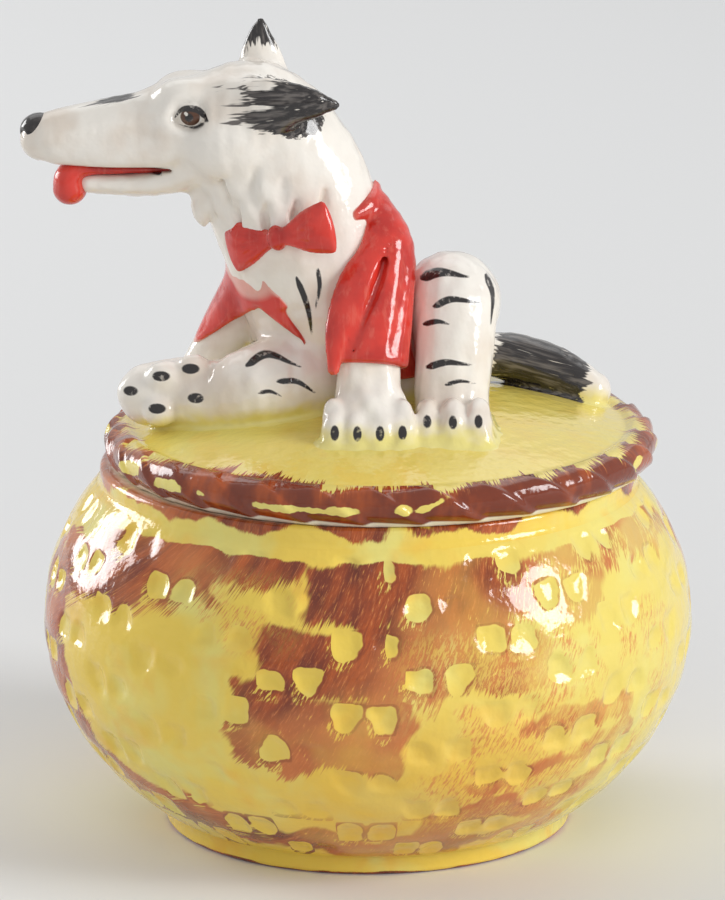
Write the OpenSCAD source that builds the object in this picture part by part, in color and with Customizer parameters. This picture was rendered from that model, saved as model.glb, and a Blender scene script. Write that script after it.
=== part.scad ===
// Glazed earthenware drip jar: a squat basket-weave bowl under a loose domed lid
// that carries a seated dog in an open coat and bow tie.
// Millimetres, +Z up, origin at the centre of the foot ring's standing face.
// The photographed front of the jar looks along -Y.

/* [Jar] */
// Widest diameter of the bowl over the weave
jar_d = 130.4; // [122:0.2:140]
// Height of the rim above the table
jar_h = 74; // [70:0.5:80]
// Height of the widest line
belly_z = 42.4; // [39:0.2:46]
// Wall thickness of the casting behind the weave
wall = 3.4; // [2.6:0.1:4.4]
// Inside diameter of the mouth
mouth_d = 98; // [92:0.2:104]
// Width of the rim's flat top with its softened edges
rim_w = 4.6; // [4:0.1:5.4]
// Height of the plain rim band above the weave
rim_h = 4.2; // [3:0.1:5.5]
// Outside diameter of the foot ring
foot_d = 82; // [76:0.5:88]
// Height of the foot ring
foot_h = 4; // [3:0.1:5]
// Width of the foot ring's standing face
foot_w = 4.5; // [3.5:0.1:6]
// Depth of the recess inside the foot ring
foot_recess = 1.6; // [1:0.1:2.2]
// Thickness of the floor above the recess
floor_t = 4; // [3:0.1:5]

/* [Basket weave] */
// Repeats of the weave around the bowl: each is a pair of hollows and a raised pad
weave_units = 14; // [12:1:16]
// Rows of the weave from foot to rim
weave_rows = 10; // [8:2:12]
// Thickness of the woven layer at its raised pads
weave_t = 1.5; // [1.2:0.1:2]
// Depth of the hollows
weave_depth = 0.8; // [0.4:0.05:1]
// Width of the ridges between hollows
weave_ridge = 1.4; // [1:0.1:2]
// Turn of the weave about the jar's axis, in degrees
weave_turn = -7; // [-12:0.5:12]

/* [Lid] */
// How far the rope edge reaches past the rim
lid_overhang = 2; // [1:0.1:3.5]
// Width of the rope edge, measured across the ring
rope_w = 6.5; // [5.5:0.1:7.5]
// Height of the rope edge
rope_h = 8; // [7:0.1:9]
// Strands that show around the rope edge
rope_strands = 30; // [24:1:34]
// Depth of the grooves between the strands
rope_groove = 0.9; // [0.4:0.05:1.2]
// Rise of the dome from its edge to the centre
dome_rise = 7; // [6:0.1:8]
// Thickness of the dome
lid_t = 5; // [4:0.1:6]
// Depth of the locating flange below the rim
flange_h = 5; // [4:0.1:7]
// Thickness of the locating flange
flange_t = 3; // [2.6:0.1:4]
// Radial play of the flange in the mouth
lid_play = 3; // [2.6:0.1:3.6]
// How far the lid sits to one side, at most its play
lid_shift = 2.5; // [0:0.1:3]

/* [Dog] */
// Height of the dog above the crown of the lid
dog_h = 74.6; // [68:0.1:78]
// Thickness of the coat over the body
coat_t = 1.3; // [1:0.1:2]
// Length of the muzzle from brow to nose
muzzle_l = 30; // [26:0.5:33]
// Length of the upright ear
ear_l = 14; // [12:0.5:16]
// Length of the bow tie from end to end
bow_l = 23; // [20:0.5:26]
// Radius of the toes
toe_r = 2.6; // [2.3:0.1:3]
// Length of the tail
tail_l = 26; // [22:0.5:28]
// Length of the tongue that hangs out of the mouth
tongue_drop = 5; // [4:0.5:7]

/* [Hidden] */

$fn = 96;
yellow = "#e8cf4a";
brown = "#8f4a2e";
white = "#f1eee6";
red = "#d23a2c";
black = "#262322";

jar_r = jar_d / 2;
mouth_r = mouth_d / 2;
foot_r = foot_d / 2;
rim_r = mouth_r + rim_w;
// Joints between solids that are one fired body, and the least clearance of loose ones
seam = 0.1;
weave_seam = 0.2;
loose = 0.4;
// Softened edge of rim, foot and flange, and the step at which slopes are taken
edge_r = 1.2;
slope_step = 0.01;

// The weave lies between the foot ring and the rim band, and is a little prouder than both
weave_z0 = foot_h + 0.5;
weave_z1 = jar_h - rim_h;
neck_r = rim_r + 0.9;
base_r = foot_r + 2;
// Half-heights of the two ellipses that shape the bowl above and below its widest line
upper_c = (weave_z1 - belly_z) / sqrt(1 - pow(neck_r / jar_r, 2));
lower_c = (belly_z - weave_z0) / sqrt(1 - pow(base_r / jar_r, 2));

// The lid's plain disc inside the rope edge, its flange, and the height of its crown above the seat
lid_r = rim_r + lid_overhang;
disc_r = lid_r - rope_w;
flange_r = mouth_r - lid_play;
disc_z = rope_h - 1;
crown_z = disc_z + dome_rise;
seat_x = min(lid_shift, lid_play - loose);
// Flat seat of the rope edge, inside its roll
rope_seat = 3;

// The body turns this far to the jar's left of its front
body_turn = 30;
facing = [-sin(body_turn), -cos(body_turn), 0];
// The dog's forms are drawn 74.6 mm tall and scaled to its height, so its named lengths are scaled back
dog_scale = dog_h / 74.6;
coat_s = coat_t / dog_scale;
muzzle_s = muzzle_l / dog_scale;
ear_s = ear_l / dog_scale;
bow_s = bow_l / dog_scale;
toe_s = toe_r / dog_scale;
tail_s = tail_l / dog_scale;
tongue_s = tongue_drop / dog_scale;
// Where the muzzle starts and ends, and the head's middle line
brow_x = -38;
tip_x = brow_x - muzzle_s + 1;
head_y = -4;

// Small vector and curve helpers
function unit(v) = v / norm(v);
function place(p) = [p[0], p[1], p[2]];
function arc(centre, r, a0, a1, n) =
    [for (i = [0:n]) let (a = a0 + (a1 - a0) * i / n) centre + r * [cos(a), sin(a)]];
function blend4(p0, p1, p2, p3, t) =
    0.5 * (2 * p1 + (p2 - p0) * t + (2 * p0 - 5 * p1 + 4 * p2 - p3) * t * t
        + (3 * p1 - p0 - 3 * p2 + p3) * t * t * t);
// A smooth curve through the list p, at position s along its indices
function along(p, s) =
    let (last = len(p) - 1, i = min(floor(s), last - 1))
    blend4(p[max(i - 1, 0)], p[i], p[i + 1], p[min(i + 2, last)], s - i);

// Radius of the bowl form at height z, and of the same form taken in by t all over
function bowl_r(z, t = 0) =
    let (c = (z > belly_z ? upper_c : lower_c) - t)
    (jar_r - t) * sqrt(max(0, 1 - pow((z - belly_z) / c, 2)));
// Height of weave row j, spaced evenly along the curve of the bowl
function row_z(j) =
    let (a0 = -asin((belly_z - weave_z0) / lower_c),
        a1 = asin((weave_z1 - belly_z) / upper_c),
        a = a0 + (a1 - a0) * j / weave_rows)
    belly_z + (a > 0 ? upper_c : lower_c) * sin(a);
// Height of the lid's upper face above its seat at radius r, a part of a sphere
function dome_z(r) =
    let (big_r = (disc_r * disc_r + dome_rise * dome_rise) / (2 * dome_rise))
    crown_z - big_r + sqrt(big_r * big_r - r * r);

// One ring of a loft: an ellipse of half-sizes r0 along ref and r1 across it, square to direction t
function ring(centre, t, ref, r0, r1, sides) =
    let (u = unit(ref - (ref * t) * t), v = cross(t, u))
    [for (i = [0:sides - 1]) let (a = 360 * i / sides) centre + r0 * cos(a) * u + r1 * sin(a) * v];

// Rings that close an end like a dome of the given reach
function dome_rings(s, t, ref, reach, sides, angles) =
    [for (a = angles) ring(place(s) + t * reach * sin(a), t, ref, s[3] * cos(a), s[4] * cos(a), sides)];

// A rounded body lofted through stations [x, y, z, half-size along ref, half-size across].
// cap0 and cap1 say how far the ends dome out, as a share of the end's smaller half-size; 0 is flat.
module loft(stations, ref, sides = 14, steps = 2, cap0 = 0.8, cap1 = 0.8) {
    last = len(stations) - 1;
    count = last * steps;
    body = [for (k = [0:count]) along(stations, k / steps)];
    tangent = [for (k = [0:count])
        unit(place(along(stations, min(k / steps + slope_step, last)))
            - place(along(stations, max(k / steps - slope_step, 0))))];
    start = body[0];
    finish = body[count];
    reach0 = cap0 * min(start[3], start[4]);
    reach1 = cap1 * min(finish[3], finish[4]);
    rings = concat(
        cap0 > 0 ? dome_rings(start, tangent[0], ref, reach0, sides, [-45]) : [],
        [for (k = [0:count]) ring(place(body[k]), tangent[k], ref, body[k][3], body[k][4], sides)],
        cap1 > 0 ? dome_rings(finish, tangent[count], ref, reach1, sides, [45]) : []);
    rows = len(rings);
    pole0 = rows * sides;
    pole1 = pole0 + 1;
    poles = [place(start) - tangent[0] * reach0, place(finish) + tangent[count] * reach1];
    polyhedron(concat([for (r = rings) each r], poles), concat(
        [for (i = [0:sides - 1]) [i, (i + 1) % sides, pole0]],
        [for (k = [0:rows - 2]) for (i = [0:sides - 1]) let (j = (i + 1) % sides, a = k * sides)
            each [[a + sides + i, a + j, a + i], [a + sides + i, a + sides + j, a + j]]],
        [for (i = [0:sides - 1]) let (a = (rows - 1) * sides) [a + (i + 1) % sides, a + i, pole1]]));
}

// Rounded toes: from each tip a ridge runs back over the paw
module toes(tips, back, r = toe_s) {
    for (tip = tips) hull() {
        translate(tip) sphere(r, $fn = 8);
        translate(tip + back) sphere(0.8 * r, $fn = 6);
    }
}

// Joins overlapping clay forms into one skin at their own size
module one_skin() {
    resize([0, 0, 0]) union() children();
}

// Everything that belongs to the lid stands on the rim, a little to one side
module on_rim() {
    translate([seat_x, 0, jar_h]) children();
}

// The dog's own frame: its origin is the crown of the dome, and its forms are scaled to its height
module on_crown() {
    translate([0, 0, crown_z]) scale(dog_scale) children();
}

// The bowl: foot ring, floor, wall and plain rim, turned as one profile
module jar_bowl() {
    core_t = weave_t + weave_seam;
    inner_t = core_t + wall;
    floor_z = foot_recess + floor_t;
    foot_in = foot_r - foot_w;
    inner_steps = 24;
    // The inside follows the bowl, and above its widest line never draws in past the mouth
    inner_r = function (z) max(bowl_r(z, inner_t), z > belly_z ? mouth_r : 0);
    inner_wall = [for (i = [0:inner_steps])
        let (z = weave_z1 + (floor_z + edge_r - weave_z1) * i / inner_steps) [inner_r(z), z]];
    color(yellow) rotate_extrude() polygon(concat(
        [[0, foot_recess], [foot_in - foot_recess, foot_recess], [foot_in, 0]],
        arc([foot_r - edge_r, edge_r], edge_r, -90, 0, 5),
        [[foot_r, foot_h], [bowl_r(weave_z0) - core_t, foot_h]],
        [for (j = [0:2:weave_rows]) [bowl_r(row_z(j)) - core_t, row_z(j)]],
        [[neck_r - core_t, weave_z1 + seam], [rim_r, weave_z1 + seam]],
        arc([rim_r - edge_r, jar_h - edge_r], edge_r, 0, 90, 5),
        arc([mouth_r + edge_r, jar_h - edge_r], edge_r, 90, 180, 5),
        inner_wall,
        [[inner_r(floor_z + edge_r) - edge_r, floor_z], [0, floor_z]]));
}

// The basket weave, the outer face of the bowl: pairs of hollows with a thin ridge between them take
// turns with raised pads, and each row is shifted by half a repeat against the next.
module weave_relief() {
    columns = 4 * weave_units;
    hollow = function (c, r) (floor(c / 2) + r) % 2 == 0;
    // A point of the layer at column c and row r, sunk by t
    skin = function (c, r, t)
        let (z = row_z(r), turn = 360 * c / columns + weave_turn)
        concat((bowl_r(z) - t) * [cos(turn), sin(turn)], z);
    // Share of a cell that is ridge, at either side and at top and bottom
    side = weave_ridge * columns / (4 * PI * jar_r);
    rung = weave_ridge * weave_rows / (2 * (weave_z1 - weave_z0));
    cells = [for (r = [0:weave_rows - 1]) for (c = [0:columns - 1]) if (hollow(c, r)) [c, r]];
    corners = [for (r = [0:weave_rows]) for (c = [0:columns - 1]) skin(c, r, 0)];
    inset = [[side, rung], [1 - side, rung], [1 - side, 1 - rung], [side, 1 - rung]];
    floors = [for (h = cells) for (p = inset) skin(h[0] + p[0], h[1] + p[1], weave_depth)];
    backs = [for (j = [0:2:weave_rows]) for (c = [0:columns - 1]) skin(c, j, weave_t)];
    floor_0 = len(corners);
    back_0 = floor_0 + len(floors);
    // Two triangles for four points in order, seen from outside
    quad = function (a, b, c, d) [[a, c, b], [a, d, c]];
    around = function (c, r) [r * columns + c, r * columns + (c + 1) % columns,
        (r + 1) * columns + (c + 1) % columns, (r + 1) * columns + c];
    band = function (a, b) [for (c = [0:columns - 1]) let (d = (c + 1) % columns)
        each quad(a + c, a + d, b + d, b + c)];
    back_rows = weave_rows / 2;
    color(yellow) polyhedron(concat(corners, floors, backs), concat(
        [for (r = [0:weave_rows - 1]) for (c = [0:columns - 1]) if (!hollow(c, r))
            let (q = around(c, r)) each quad(q[0], q[1], q[2], q[3])],
        [for (i = [0:len(cells) - 1])
            let (q = around(cells[i][0], cells[i][1]), f = floor_0 + 4 * i) each concat(
                quad(f, f + 1, f + 2, f + 3),
                [for (k = [0:3]) let (m = (k + 1) % 4) each quad(q[k], q[m], f + m, f + k)])],
        [for (j = [0:back_rows - 1]) each band(back_0 + (j + 1) * columns, back_0 + j * columns)],
        band(back_0, 0),
        band(weave_rows * columns, back_0 + back_rows * columns)));
}

// The lid: a domed disc with a flat land that sits on the rim and a flange that drops into the mouth
module lid_dome() {
    steps = 16;
    inner_r = flange_r - flange_t;
    rim_of_disc = disc_r - seam;
    color(yellow) on_rim() rotate_extrude() polygon(concat(
        [[rim_of_disc, 0]],
        [for (i = [0:steps]) let (r = rim_of_disc * (1 - i / steps)) [r, dome_z(r)]],
        [for (i = [0:steps]) let (r = inner_r * i / steps) [r, dome_z(r) - lid_t]],
        arc([inner_r + edge_r, edge_r - flange_h], edge_r, 180, 270, 4),
        arc([flange_r - edge_r, edge_r - flange_h], edge_r, 270, 360, 4),
        [[flange_r, 0]]));
}

// The rope edge: a ring with a flat seat and a roll of slanting strands
module rope_edge() {
    per_strand = 3;
    slant = 1.5;
    sections = rope_strands * per_strand;
    half = rope_h / 2;
    roll_x = disc_r + rope_seat;
    roll_r = lid_r - roll_x;
    rings = [for (i = [0:sections - 1])
        let (turn = 360 * i / sections, strand = 360 * i / per_strand,
            section = concat(
                [[disc_r, disc_z], [disc_r, 0], [roll_x, 0]],
                [for (a = [-60:30:90]) let (groove = rope_groove * (1 - cos(strand + slant * a)) / 2)
                    [roll_x + (roll_r - groove) * cos(a), half + (half - groove) * sin(a)]]))
        [for (p = section) [p[0] * cos(turn), p[0] * sin(turn), p[1]]]];
    n = len(rings[0]);
    color(brown) on_rim() polyhedron([for (r = rings) each r],
        [for (i = [0:sections - 1]) for (k = [0:n - 1])
            let (a = i * n, b = ((i + 1) % sections) * n, m = (k + 1) % n)
            each [[a + k, b + k, a + m], [a + m, b + k, b + m]]]);
}

// What the dog stands on: the dome and the rope edge, a hair proud of both
module standing_surface() {
    steps = 6;
    half = rope_h / 2;
    roll_x = disc_r + rope_seat;
    deep = 3 * crown_z;
    rotate_extrude($fn = 48) polygon(concat(
        [[0, -deep], [lid_r + seam, -deep]],
        [for (a = [0:30:90]) [roll_x + (lid_r - roll_x + seam) * cos(a), half + (half + seam) * sin(a)]],
        [for (i = [0:steps]) let (r = disc_r * (1 - i / steps)) [r, dome_z(r) + seam]]));
}

// The dog's forms, in the frame of the dome's crown: x to the jar's right, y to its back

// Body: depth and width at seat, belly, chest, shoulders and neck, with a layer of thickness t over it
module body_form(t = 0) {
    loft([
        [-3, 5, -7, 15 + t, 18 + t],
        [-7, 3, 7, 15.5 + t, 18 + t],
        [-12, -1, 21, 14.5 + t, 17 + t],
        [-15.5, -3, 32, 13 + t, 15 + t],
        [-18, -4, 40, 11 + t, 12 + t]
    ], facing, sides = 18, cap1 = 0.4);
}

// What lies below the coat's hem on the dog's right, where hem and cuff swing up between two points
module below_hem() {
    big = 60;
    behind = 12;
    translate([0, behind, 0]) rotate([90, 0, 0]) linear_extrude(big)
        polygon([[-big, -big], [-big, -12], [-38, 7.4], [-24, 19.6], [-15.4, 13.6], [-12, 0], [-12, -big]]);
}

// The coat over the body: open in front from a wide collar down to its points, and short at the back
module coat_form() {
    hem_z = 5;
    top_z = 48;
    big = 60;
    difference() {
        body_form(coat_s);
        rotate([0, 0, -body_turn]) rotate([90, 0, 0]) linear_extrude(big) polygon([
            [-24, top_z], [-16.5, 32], [-8, 20.8], [-9, 19.6], [-5.6, 13.4], [-6, 0],
            [-2, 0], [-1, 15], [3, 29], [7, top_z]
        ]);
        translate([-big, -big, hem_z - big]) cube([2 * big, 2 * big, big]);
        below_hem();
    }
}

// The dog's left sleeve comes straight down in front, with the coat's lapel and collar laid over it
module left_sleeve_form() {
    loft([
        [2, -5, 38, 5, 5],
        [1.4, -10, 31, 6.4, 6.4],
        [-1.6, -15, 20, 8, 7.2],
        [-2.2, -19, 9.5, 7.6, 7.6]
    ], [1, 0, 0], cap1 = 0);
    loft([
        [0, -13, 35, 1.4, 1.1],
        [-4.6, -18, 27.5, 3.5, 1.4],
        [-8.3, -21.8, 18.5, 2.7, 1.4],
        [-9.3, -24.1, 10, 1.3, 1]
    ], [1, -0.3, 0], sides = 8);
    loft([
        [-1, -3.4, 42.6, 1.2, 1],
        [-1.6, -8.4, 39.6, 2.3, 1.5],
        [-4.8, -11.2, 37.6, 0.7, 0.7]
    ], [0, 0, 1], sides = 8);
}

// The dog's right sleeve reaches down and back to the jar's left, and its cuff ends in a point
module right_sleeve_form() {
    difference() {
        loft([
            [-20, -5, 33, 6.4, 6.8],
            [-24.6, -1, 22, 6.6, 6.6],
            [-29.3, 4, 12.5, 6, 6.2],
            [-32.5, 6.5, 5.5, 5.6, 6]
        ], [0, 1, 0], cap1 = 0);
        below_hem();
    }
}

// Forelegs below the cuffs, with their toes
module left_forepaw_form() {
    loft([
        [-2.5, -18.2, 15, 5.8, 5.2],
        [-2.5, -20.4, 6, 6.5, 5.5],
        [-2.4, -24.5, 0, 8, 5.6],
        [-2.4, -28, -4, 8.6, 5]
    ], [1, 0, 0]);
    toes([for (i = [-1.5:1:1.5]) [-2.4 + 4.4 * i, -31.2 + 0.5 * abs(i), -3.6]], [0, 4.5, 6.5]);
}

module right_forepaw_form() {
    loft([
        [-28.5, 4, 15, 4.8, 5.2],
        [-34, 7, 5, 5, 5],
        [-38, 9.5, -2.4, 6.4, 5]
    ], [0, 1, 0]);
    toes([for (i = [-1:1]) [-41.4 + 0.6 * abs(i), 10 + 4.6 * i, -4.6]], [5, 0, 4]);
}

// Hind legs: the left knee is drawn up, the right leg lies out to the side
module left_hind_leg_form() {
    loft([
        [8, 12, 3, 12, 11],
        [13, 2, 16, 10.5, 10],
        [14.5, -7, 20, 9, 9],
        [14.3, -13.5, 10, 7.8, 7.6],
        [14, -15.5, 4, 7.4, 7]
    ], [1, 0, 0], cap1 = 0.4);
}

module right_hind_leg_form() {
    loft([
        [-8, 1, 2, 10, 11],
        [-16, -8, 4.5, 9, 9.5],
        [-24, -11.5, 4, 8.2, 8.6],
        [-33, -9.5, 0.5, 6.2, 7]
    ], [0, 0, 1]);
}

module left_hind_foot_form() {
    loft([
        [14, -15.5, -1, 6, 7.4],
        [14, -21, -2, 6, 8.2],
        [14, -27, -4.5, 4.6, 8.2]
    ], [0, 0, 1]);
    toes([for (i = [-1:1]) [14 + 5 * i, -29.2 + 0.6 * abs(i), -4.2]], [0, 4.5, 6.5]);
}

// The right foot lies on its heel, with its sole to the front and its toes to the left
module right_hind_foot_form() {
    loft([
        [-31, -9, 1, 6, 6.8],
        [-38, -7.5, 1.6, 7, 6.6],
        [-46, -6.8, 1, 6.2, 6]
    ], [0, 0, 1]);
    toes([[-37, -10, 6.6], [-42.8, -10.4, 5.2], [-48.6, -8.6, 1.8], [-43.6, -12, -1], [-35.8, -13, 1.4]],
        [1, 2.4, 0], 1.3 * toe_s);
}

// The tail lies along the lid to the jar's right
module tail_form() {
    root_x = 17;
    loft([
        [root_x, 13, 4.5, 3.8, 4.2],
        [root_x + 0.36 * tail_s, 17, 3, 4.8, 5.6],
        [root_x + 0.7 * tail_s, 17.5, 0, 4.8, 5.6],
        [root_x + tail_s, 15, -3.5, 3.6, 4.4]
    ], [0, 0, 1]);
}

// Head: thick neck, skull with brows, eyes and cheeks, muzzle, and a lower jaw that leaves the mouth open
module head_form() {
    loft([
        [-15.5, head_y, 28, 12.5, 10.5],
        [-17.8, head_y, 40, 16.2, 12],
        [-22, head_y, 50, 14.6, 12.2],
        [-25.4, head_y, 57.2, 10.3, 10.6]
    ], [1, 0, 0], cap0 = 0, cap1 = 0.4);
    loft([
        [-17, head_y, 55.5, 6.5, 8],
        [-22, head_y, 56, 9, 11],
        [-30, head_y, 56, 9.6, 11.6],
        [brow_x - 0.5, head_y, 56, 8.4, 9.2]
    ], [0, 0, 1]);
    loft([
        [brow_x + 6, head_y, 53, 8, 9.5],
        [brow_x - 0.25 * muzzle_s, head_y, 53.8, 7.6, 7.8],
        [brow_x - 0.6 * muzzle_s, head_y, 53.4, 6.2, 6.6],
        [brow_x - 0.86 * muzzle_s, head_y, 52.4, 5.4, 5.8],
        [tip_x, head_y, 52, 4.2, 4.6]
    ], [0, 0, 1], cap1 = 0.5);
    loft([
        [brow_x + 5, head_y, 48.4, 6, 8.4],
        [brow_x - 0.25 * muzzle_s, head_y, 44, 3.2, 6.2],
        [brow_x - 0.64 * muzzle_s, head_y, 43.8, 2.5, 4.6]
    ], [0, 0, 1]);
    for (side = [-1, 1]) {
        translate([brow_x - 0.5, head_y + 4.8 * side, 61.8]) scale([4.6, 3.2, 2.8]) sphere(1, $fn = 8);
        translate([brow_x + 1.2, head_y + 7.4 * side, 58.4]) scale([2.7, 2.7, 2.4]) sphere(1, $fn = 10);
        translate([brow_x + 8, head_y + 8.4 * side, 51.5]) scale([7, 4.6, 6]) sphere(1, $fn = 8);
    }
}

// The left ear is laid back, the right one stands up
module left_ear_form() {
    loft([
        [-30, -10.5, 59.5, 4.8, 3.2],
        [-22, -14.6, 61, 5.4, 2.6],
        [-14.5, -16.2, 61.4, 3.6, 1.9],
        [-8.8, -16, 61.2, 1, 0.8]
    ], [0, 0, 1], sides = 12);
}

module right_ear_form() {
    root_z = 60;
    loft([
        [-23, 3, root_z, 5.4, 3.2],
        [-23.6, 4.2, root_z + 0.42 * ear_s, 4.6, 2.6],
        [-23.9, 4.8, root_z + 0.77 * ear_s, 2.6, 1.8],
        [-23.6, 5, root_z + ear_s, 0.9, 0.8]
    ], [1, 0, 0], sides = 12);
}

module nose_form() {
    translate([tip_x, head_y, 53.8]) scale([4.2, 4, 3.5]) sphere(1, $fn = 12);
}

// The tongue lies on the jaw and hangs over its front
module tongue_form() {
    lip_x = brow_x - 0.68 * muzzle_s;
    lip_z = 46.6;
    loft([
        [brow_x - 0.1 * muzzle_s, head_y, lip_z, 3.8, 1.2],
        [brow_x - 0.45 * muzzle_s, head_y, lip_z, 4.2, 1.4],
        [lip_x, head_y - 0.4, lip_z, 4.4, 2],
        [lip_x - 2.8, head_y - 1, lip_z - 0.36 * tongue_s, 4.7, 3],
        [lip_x - 2.8, head_y - 1.2, lip_z - 0.8 * tongue_s, 4.5, 3.5]
    ], [0, 1, 0], sides = 12);
}

// Bow tie: two wings that flare from a knot, tilted with the neck
module bow_form() {
    tilt = 16;
    wing_l = bow_s / 2;
    translate([-20, -16.6, 35]) rotate([0, 0, -body_turn]) rotate([0, -tilt, 0]) {
        for (side = [-1, 1]) loft([
            [0, 0, 0, 2.2, 1.9],
            [0.48 * side * wing_l, -0.3, 0, 3.7, 2.1],
            [side * wing_l, 0.6, 0, 5.2, 1.3]
        ], [0, 0, 1], sides = 10, cap1 = 0.3);
        scale([1.9, 2.4, 2.5]) sphere(1, $fn = 10);
    }
}

// A piece of the dog: the first form given, let onto the other forms and onto the lid, face to face
module dog_piece(tint) {
    color(tint) on_rim() one_skin() difference() {
        on_crown() children(0);
        on_crown() children([1:$children - 1]);
        standing_surface();
    }
}

module clothed_body() {
    body_form();
    coat_form();
}

module torso() {
    color(white) on_rim() one_skin() difference() {
        on_crown() body_form();
        standing_surface();
    }
}

module coat() {
    dog_piece(red) {
        coat_form();
        body_form();
    }
}

module left_sleeve() {
    dog_piece(red) {
        left_sleeve_form();
        body_form(coat_s);
    }
}

module right_sleeve() {
    dog_piece(red) {
        right_sleeve_form();
        body_form(coat_s);
    }
}

module left_forepaw() {
    dog_piece(white) {
        left_forepaw_form();
        left_sleeve_form();
        clothed_body();
    }
}

module right_forepaw() {
    dog_piece(white) {
        right_forepaw_form();
        right_sleeve_form();
        clothed_body();
    }
}

module left_hind_leg() {
    dog_piece(white) {
        left_hind_leg_form();
        clothed_body();
        left_sleeve_form();
        left_forepaw_form();
    }
}

module right_hind_leg() {
    dog_piece(white) {
        right_hind_leg_form();
        clothed_body();
        left_sleeve_form();
        right_sleeve_form();
        left_forepaw_form();
    }
}

module left_hind_foot() {
    dog_piece(white) {
        left_hind_foot_form();
        left_hind_leg_form();
        left_forepaw_form();
    }
}

module right_hind_foot() {
    dog_piece(white) {
        right_hind_foot_form();
        right_hind_leg_form();
        right_sleeve_form();
        right_forepaw_form();
    }
}

module tail() {
    dog_piece(black) {
        tail_form();
        clothed_body();
        left_hind_leg_form();
    }
}

module head() {
    dog_piece(white) {
        head_form();
        clothed_body();
        left_sleeve_form();
        right_sleeve_form();
    }
}

module left_ear() {
    dog_piece(black) {
        left_ear_form();
        head_form();
    }
}

module right_ear() {
    dog_piece(white) {
        right_ear_form();
        head_form();
    }
}

module nose() {
    dog_piece(black) {
        nose_form();
        head_form();
    }
}

module tongue() {
    dog_piece(red) {
        tongue_form();
        head_form();
    }
}

module bow_tie() {
    dog_piece(red) {
        bow_form();
        head_form();
        clothed_body();
        left_sleeve_form();
        right_sleeve_form();
    }
}

jar_bowl();
weave_relief();
lid_dome();
rope_edge();
torso();
coat();
left_sleeve();
right_sleeve();
left_forepaw();
right_forepaw();
left_hind_leg();
right_hind_leg();
left_hind_foot();
right_hind_foot();
tail();
head();
left_ear();
right_ear();
nose();
tongue();
bow_tie();
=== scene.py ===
"""Looks of a glazed drip jar: a basket-weave bowl and a domed lid with a seated dog on it.

Shapes are worked out in millimetres, in the frame of the CAD model: +Z up from the foot,
-Y towards the photographed front. add_mesh() turns them into metres.
"""
import math

import bpy
import numpy as np
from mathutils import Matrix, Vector, noise


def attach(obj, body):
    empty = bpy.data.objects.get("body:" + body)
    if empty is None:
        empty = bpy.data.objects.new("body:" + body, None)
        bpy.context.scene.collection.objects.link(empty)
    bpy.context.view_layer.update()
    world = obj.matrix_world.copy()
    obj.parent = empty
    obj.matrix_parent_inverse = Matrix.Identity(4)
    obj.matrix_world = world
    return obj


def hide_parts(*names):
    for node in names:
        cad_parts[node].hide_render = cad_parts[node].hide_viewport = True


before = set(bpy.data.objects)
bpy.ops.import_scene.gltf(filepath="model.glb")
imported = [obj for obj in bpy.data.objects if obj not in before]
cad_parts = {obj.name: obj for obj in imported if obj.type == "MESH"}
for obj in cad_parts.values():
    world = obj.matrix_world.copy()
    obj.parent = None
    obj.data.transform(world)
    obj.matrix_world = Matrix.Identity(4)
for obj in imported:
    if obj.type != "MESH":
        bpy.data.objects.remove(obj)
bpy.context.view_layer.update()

MM = 0.001
TURN = 2 * math.pi
# A distance beyond every paint threshold, and the radius of the hole at the axis of turned forms
FAR = 20.0
AXIS_R = 0.01

# Bowl
JAR_R = 65.2
JAR_H = 74.0
BELLY_Z = 42.4
WALL = 3.4
MOUTH_R = 49.0
RIM_W = 4.6
RIM_H = 4.2
FOOT_R = 41.0
FOOT_H = 4.0
FOOT_W = 4.5
FOOT_RECESS = 1.6
FLOOR_T = 4.0
EDGE = 1.2
RIM_R = MOUTH_R + RIM_W
NECK_R = RIM_R + 0.9
BASE_R = FOOT_R + 2.0
WEAVE_Z0 = FOOT_H + 0.5
WEAVE_Z1 = JAR_H - RIM_H
UPPER_C = (WEAVE_Z1 - BELLY_Z) / math.sqrt(1 - (NECK_R / JAR_R) ** 2)
LOWER_C = (BELLY_Z - WEAVE_Z0) / math.sqrt(1 - (BASE_R / JAR_R) ** 2)
BOWL_GRID = (560, 132)
BODY_COLUMNS = 280
BODY_ROWS = 26
# Outlines between the plain parts and the weave's two edges, as radius and height
FOOT_CURVE = [(FOOT_R, FOOT_H - 0.4), (FOOT_R + 0.4, FOOT_H), (BASE_R - 0.22, WEAVE_Z0 + 0.03)]
NECK_CURVE = [(NECK_R + 0.1, WEAVE_Z1 - 0.4), (NECK_R - 0.18, WEAVE_Z1 - 0.05),
              (RIM_R + 0.38, WEAVE_Z1 + 0.35), (RIM_R + 0.15, WEAVE_Z1 + 0.8),
              (RIM_R + 0.03, WEAVE_Z1 + 1.3), (RIM_R, WEAVE_Z1 + 1.9)]

# Basket weave: cells around and up, their height, depth of hollows, width of ridges, rise of pads
WEAVE_COLUMNS = 56
WEAVE_ROWS = 10
WEAVE_ROW_H = 7.6
WEAVE_DEPTH = 0.8
WEAVE_RIDGE = 1.4
WEAVE_SWELL = 0.2
WEAVE_T = 1.7
WEAVE_TURN = math.radians(-7)
WEAVE_FADE = 0.35
# The face behind the weave: its depth, and how far from the weave's edges it starts
BEHIND_T = 1.4
BEHIND_FROM = 1.4

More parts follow.
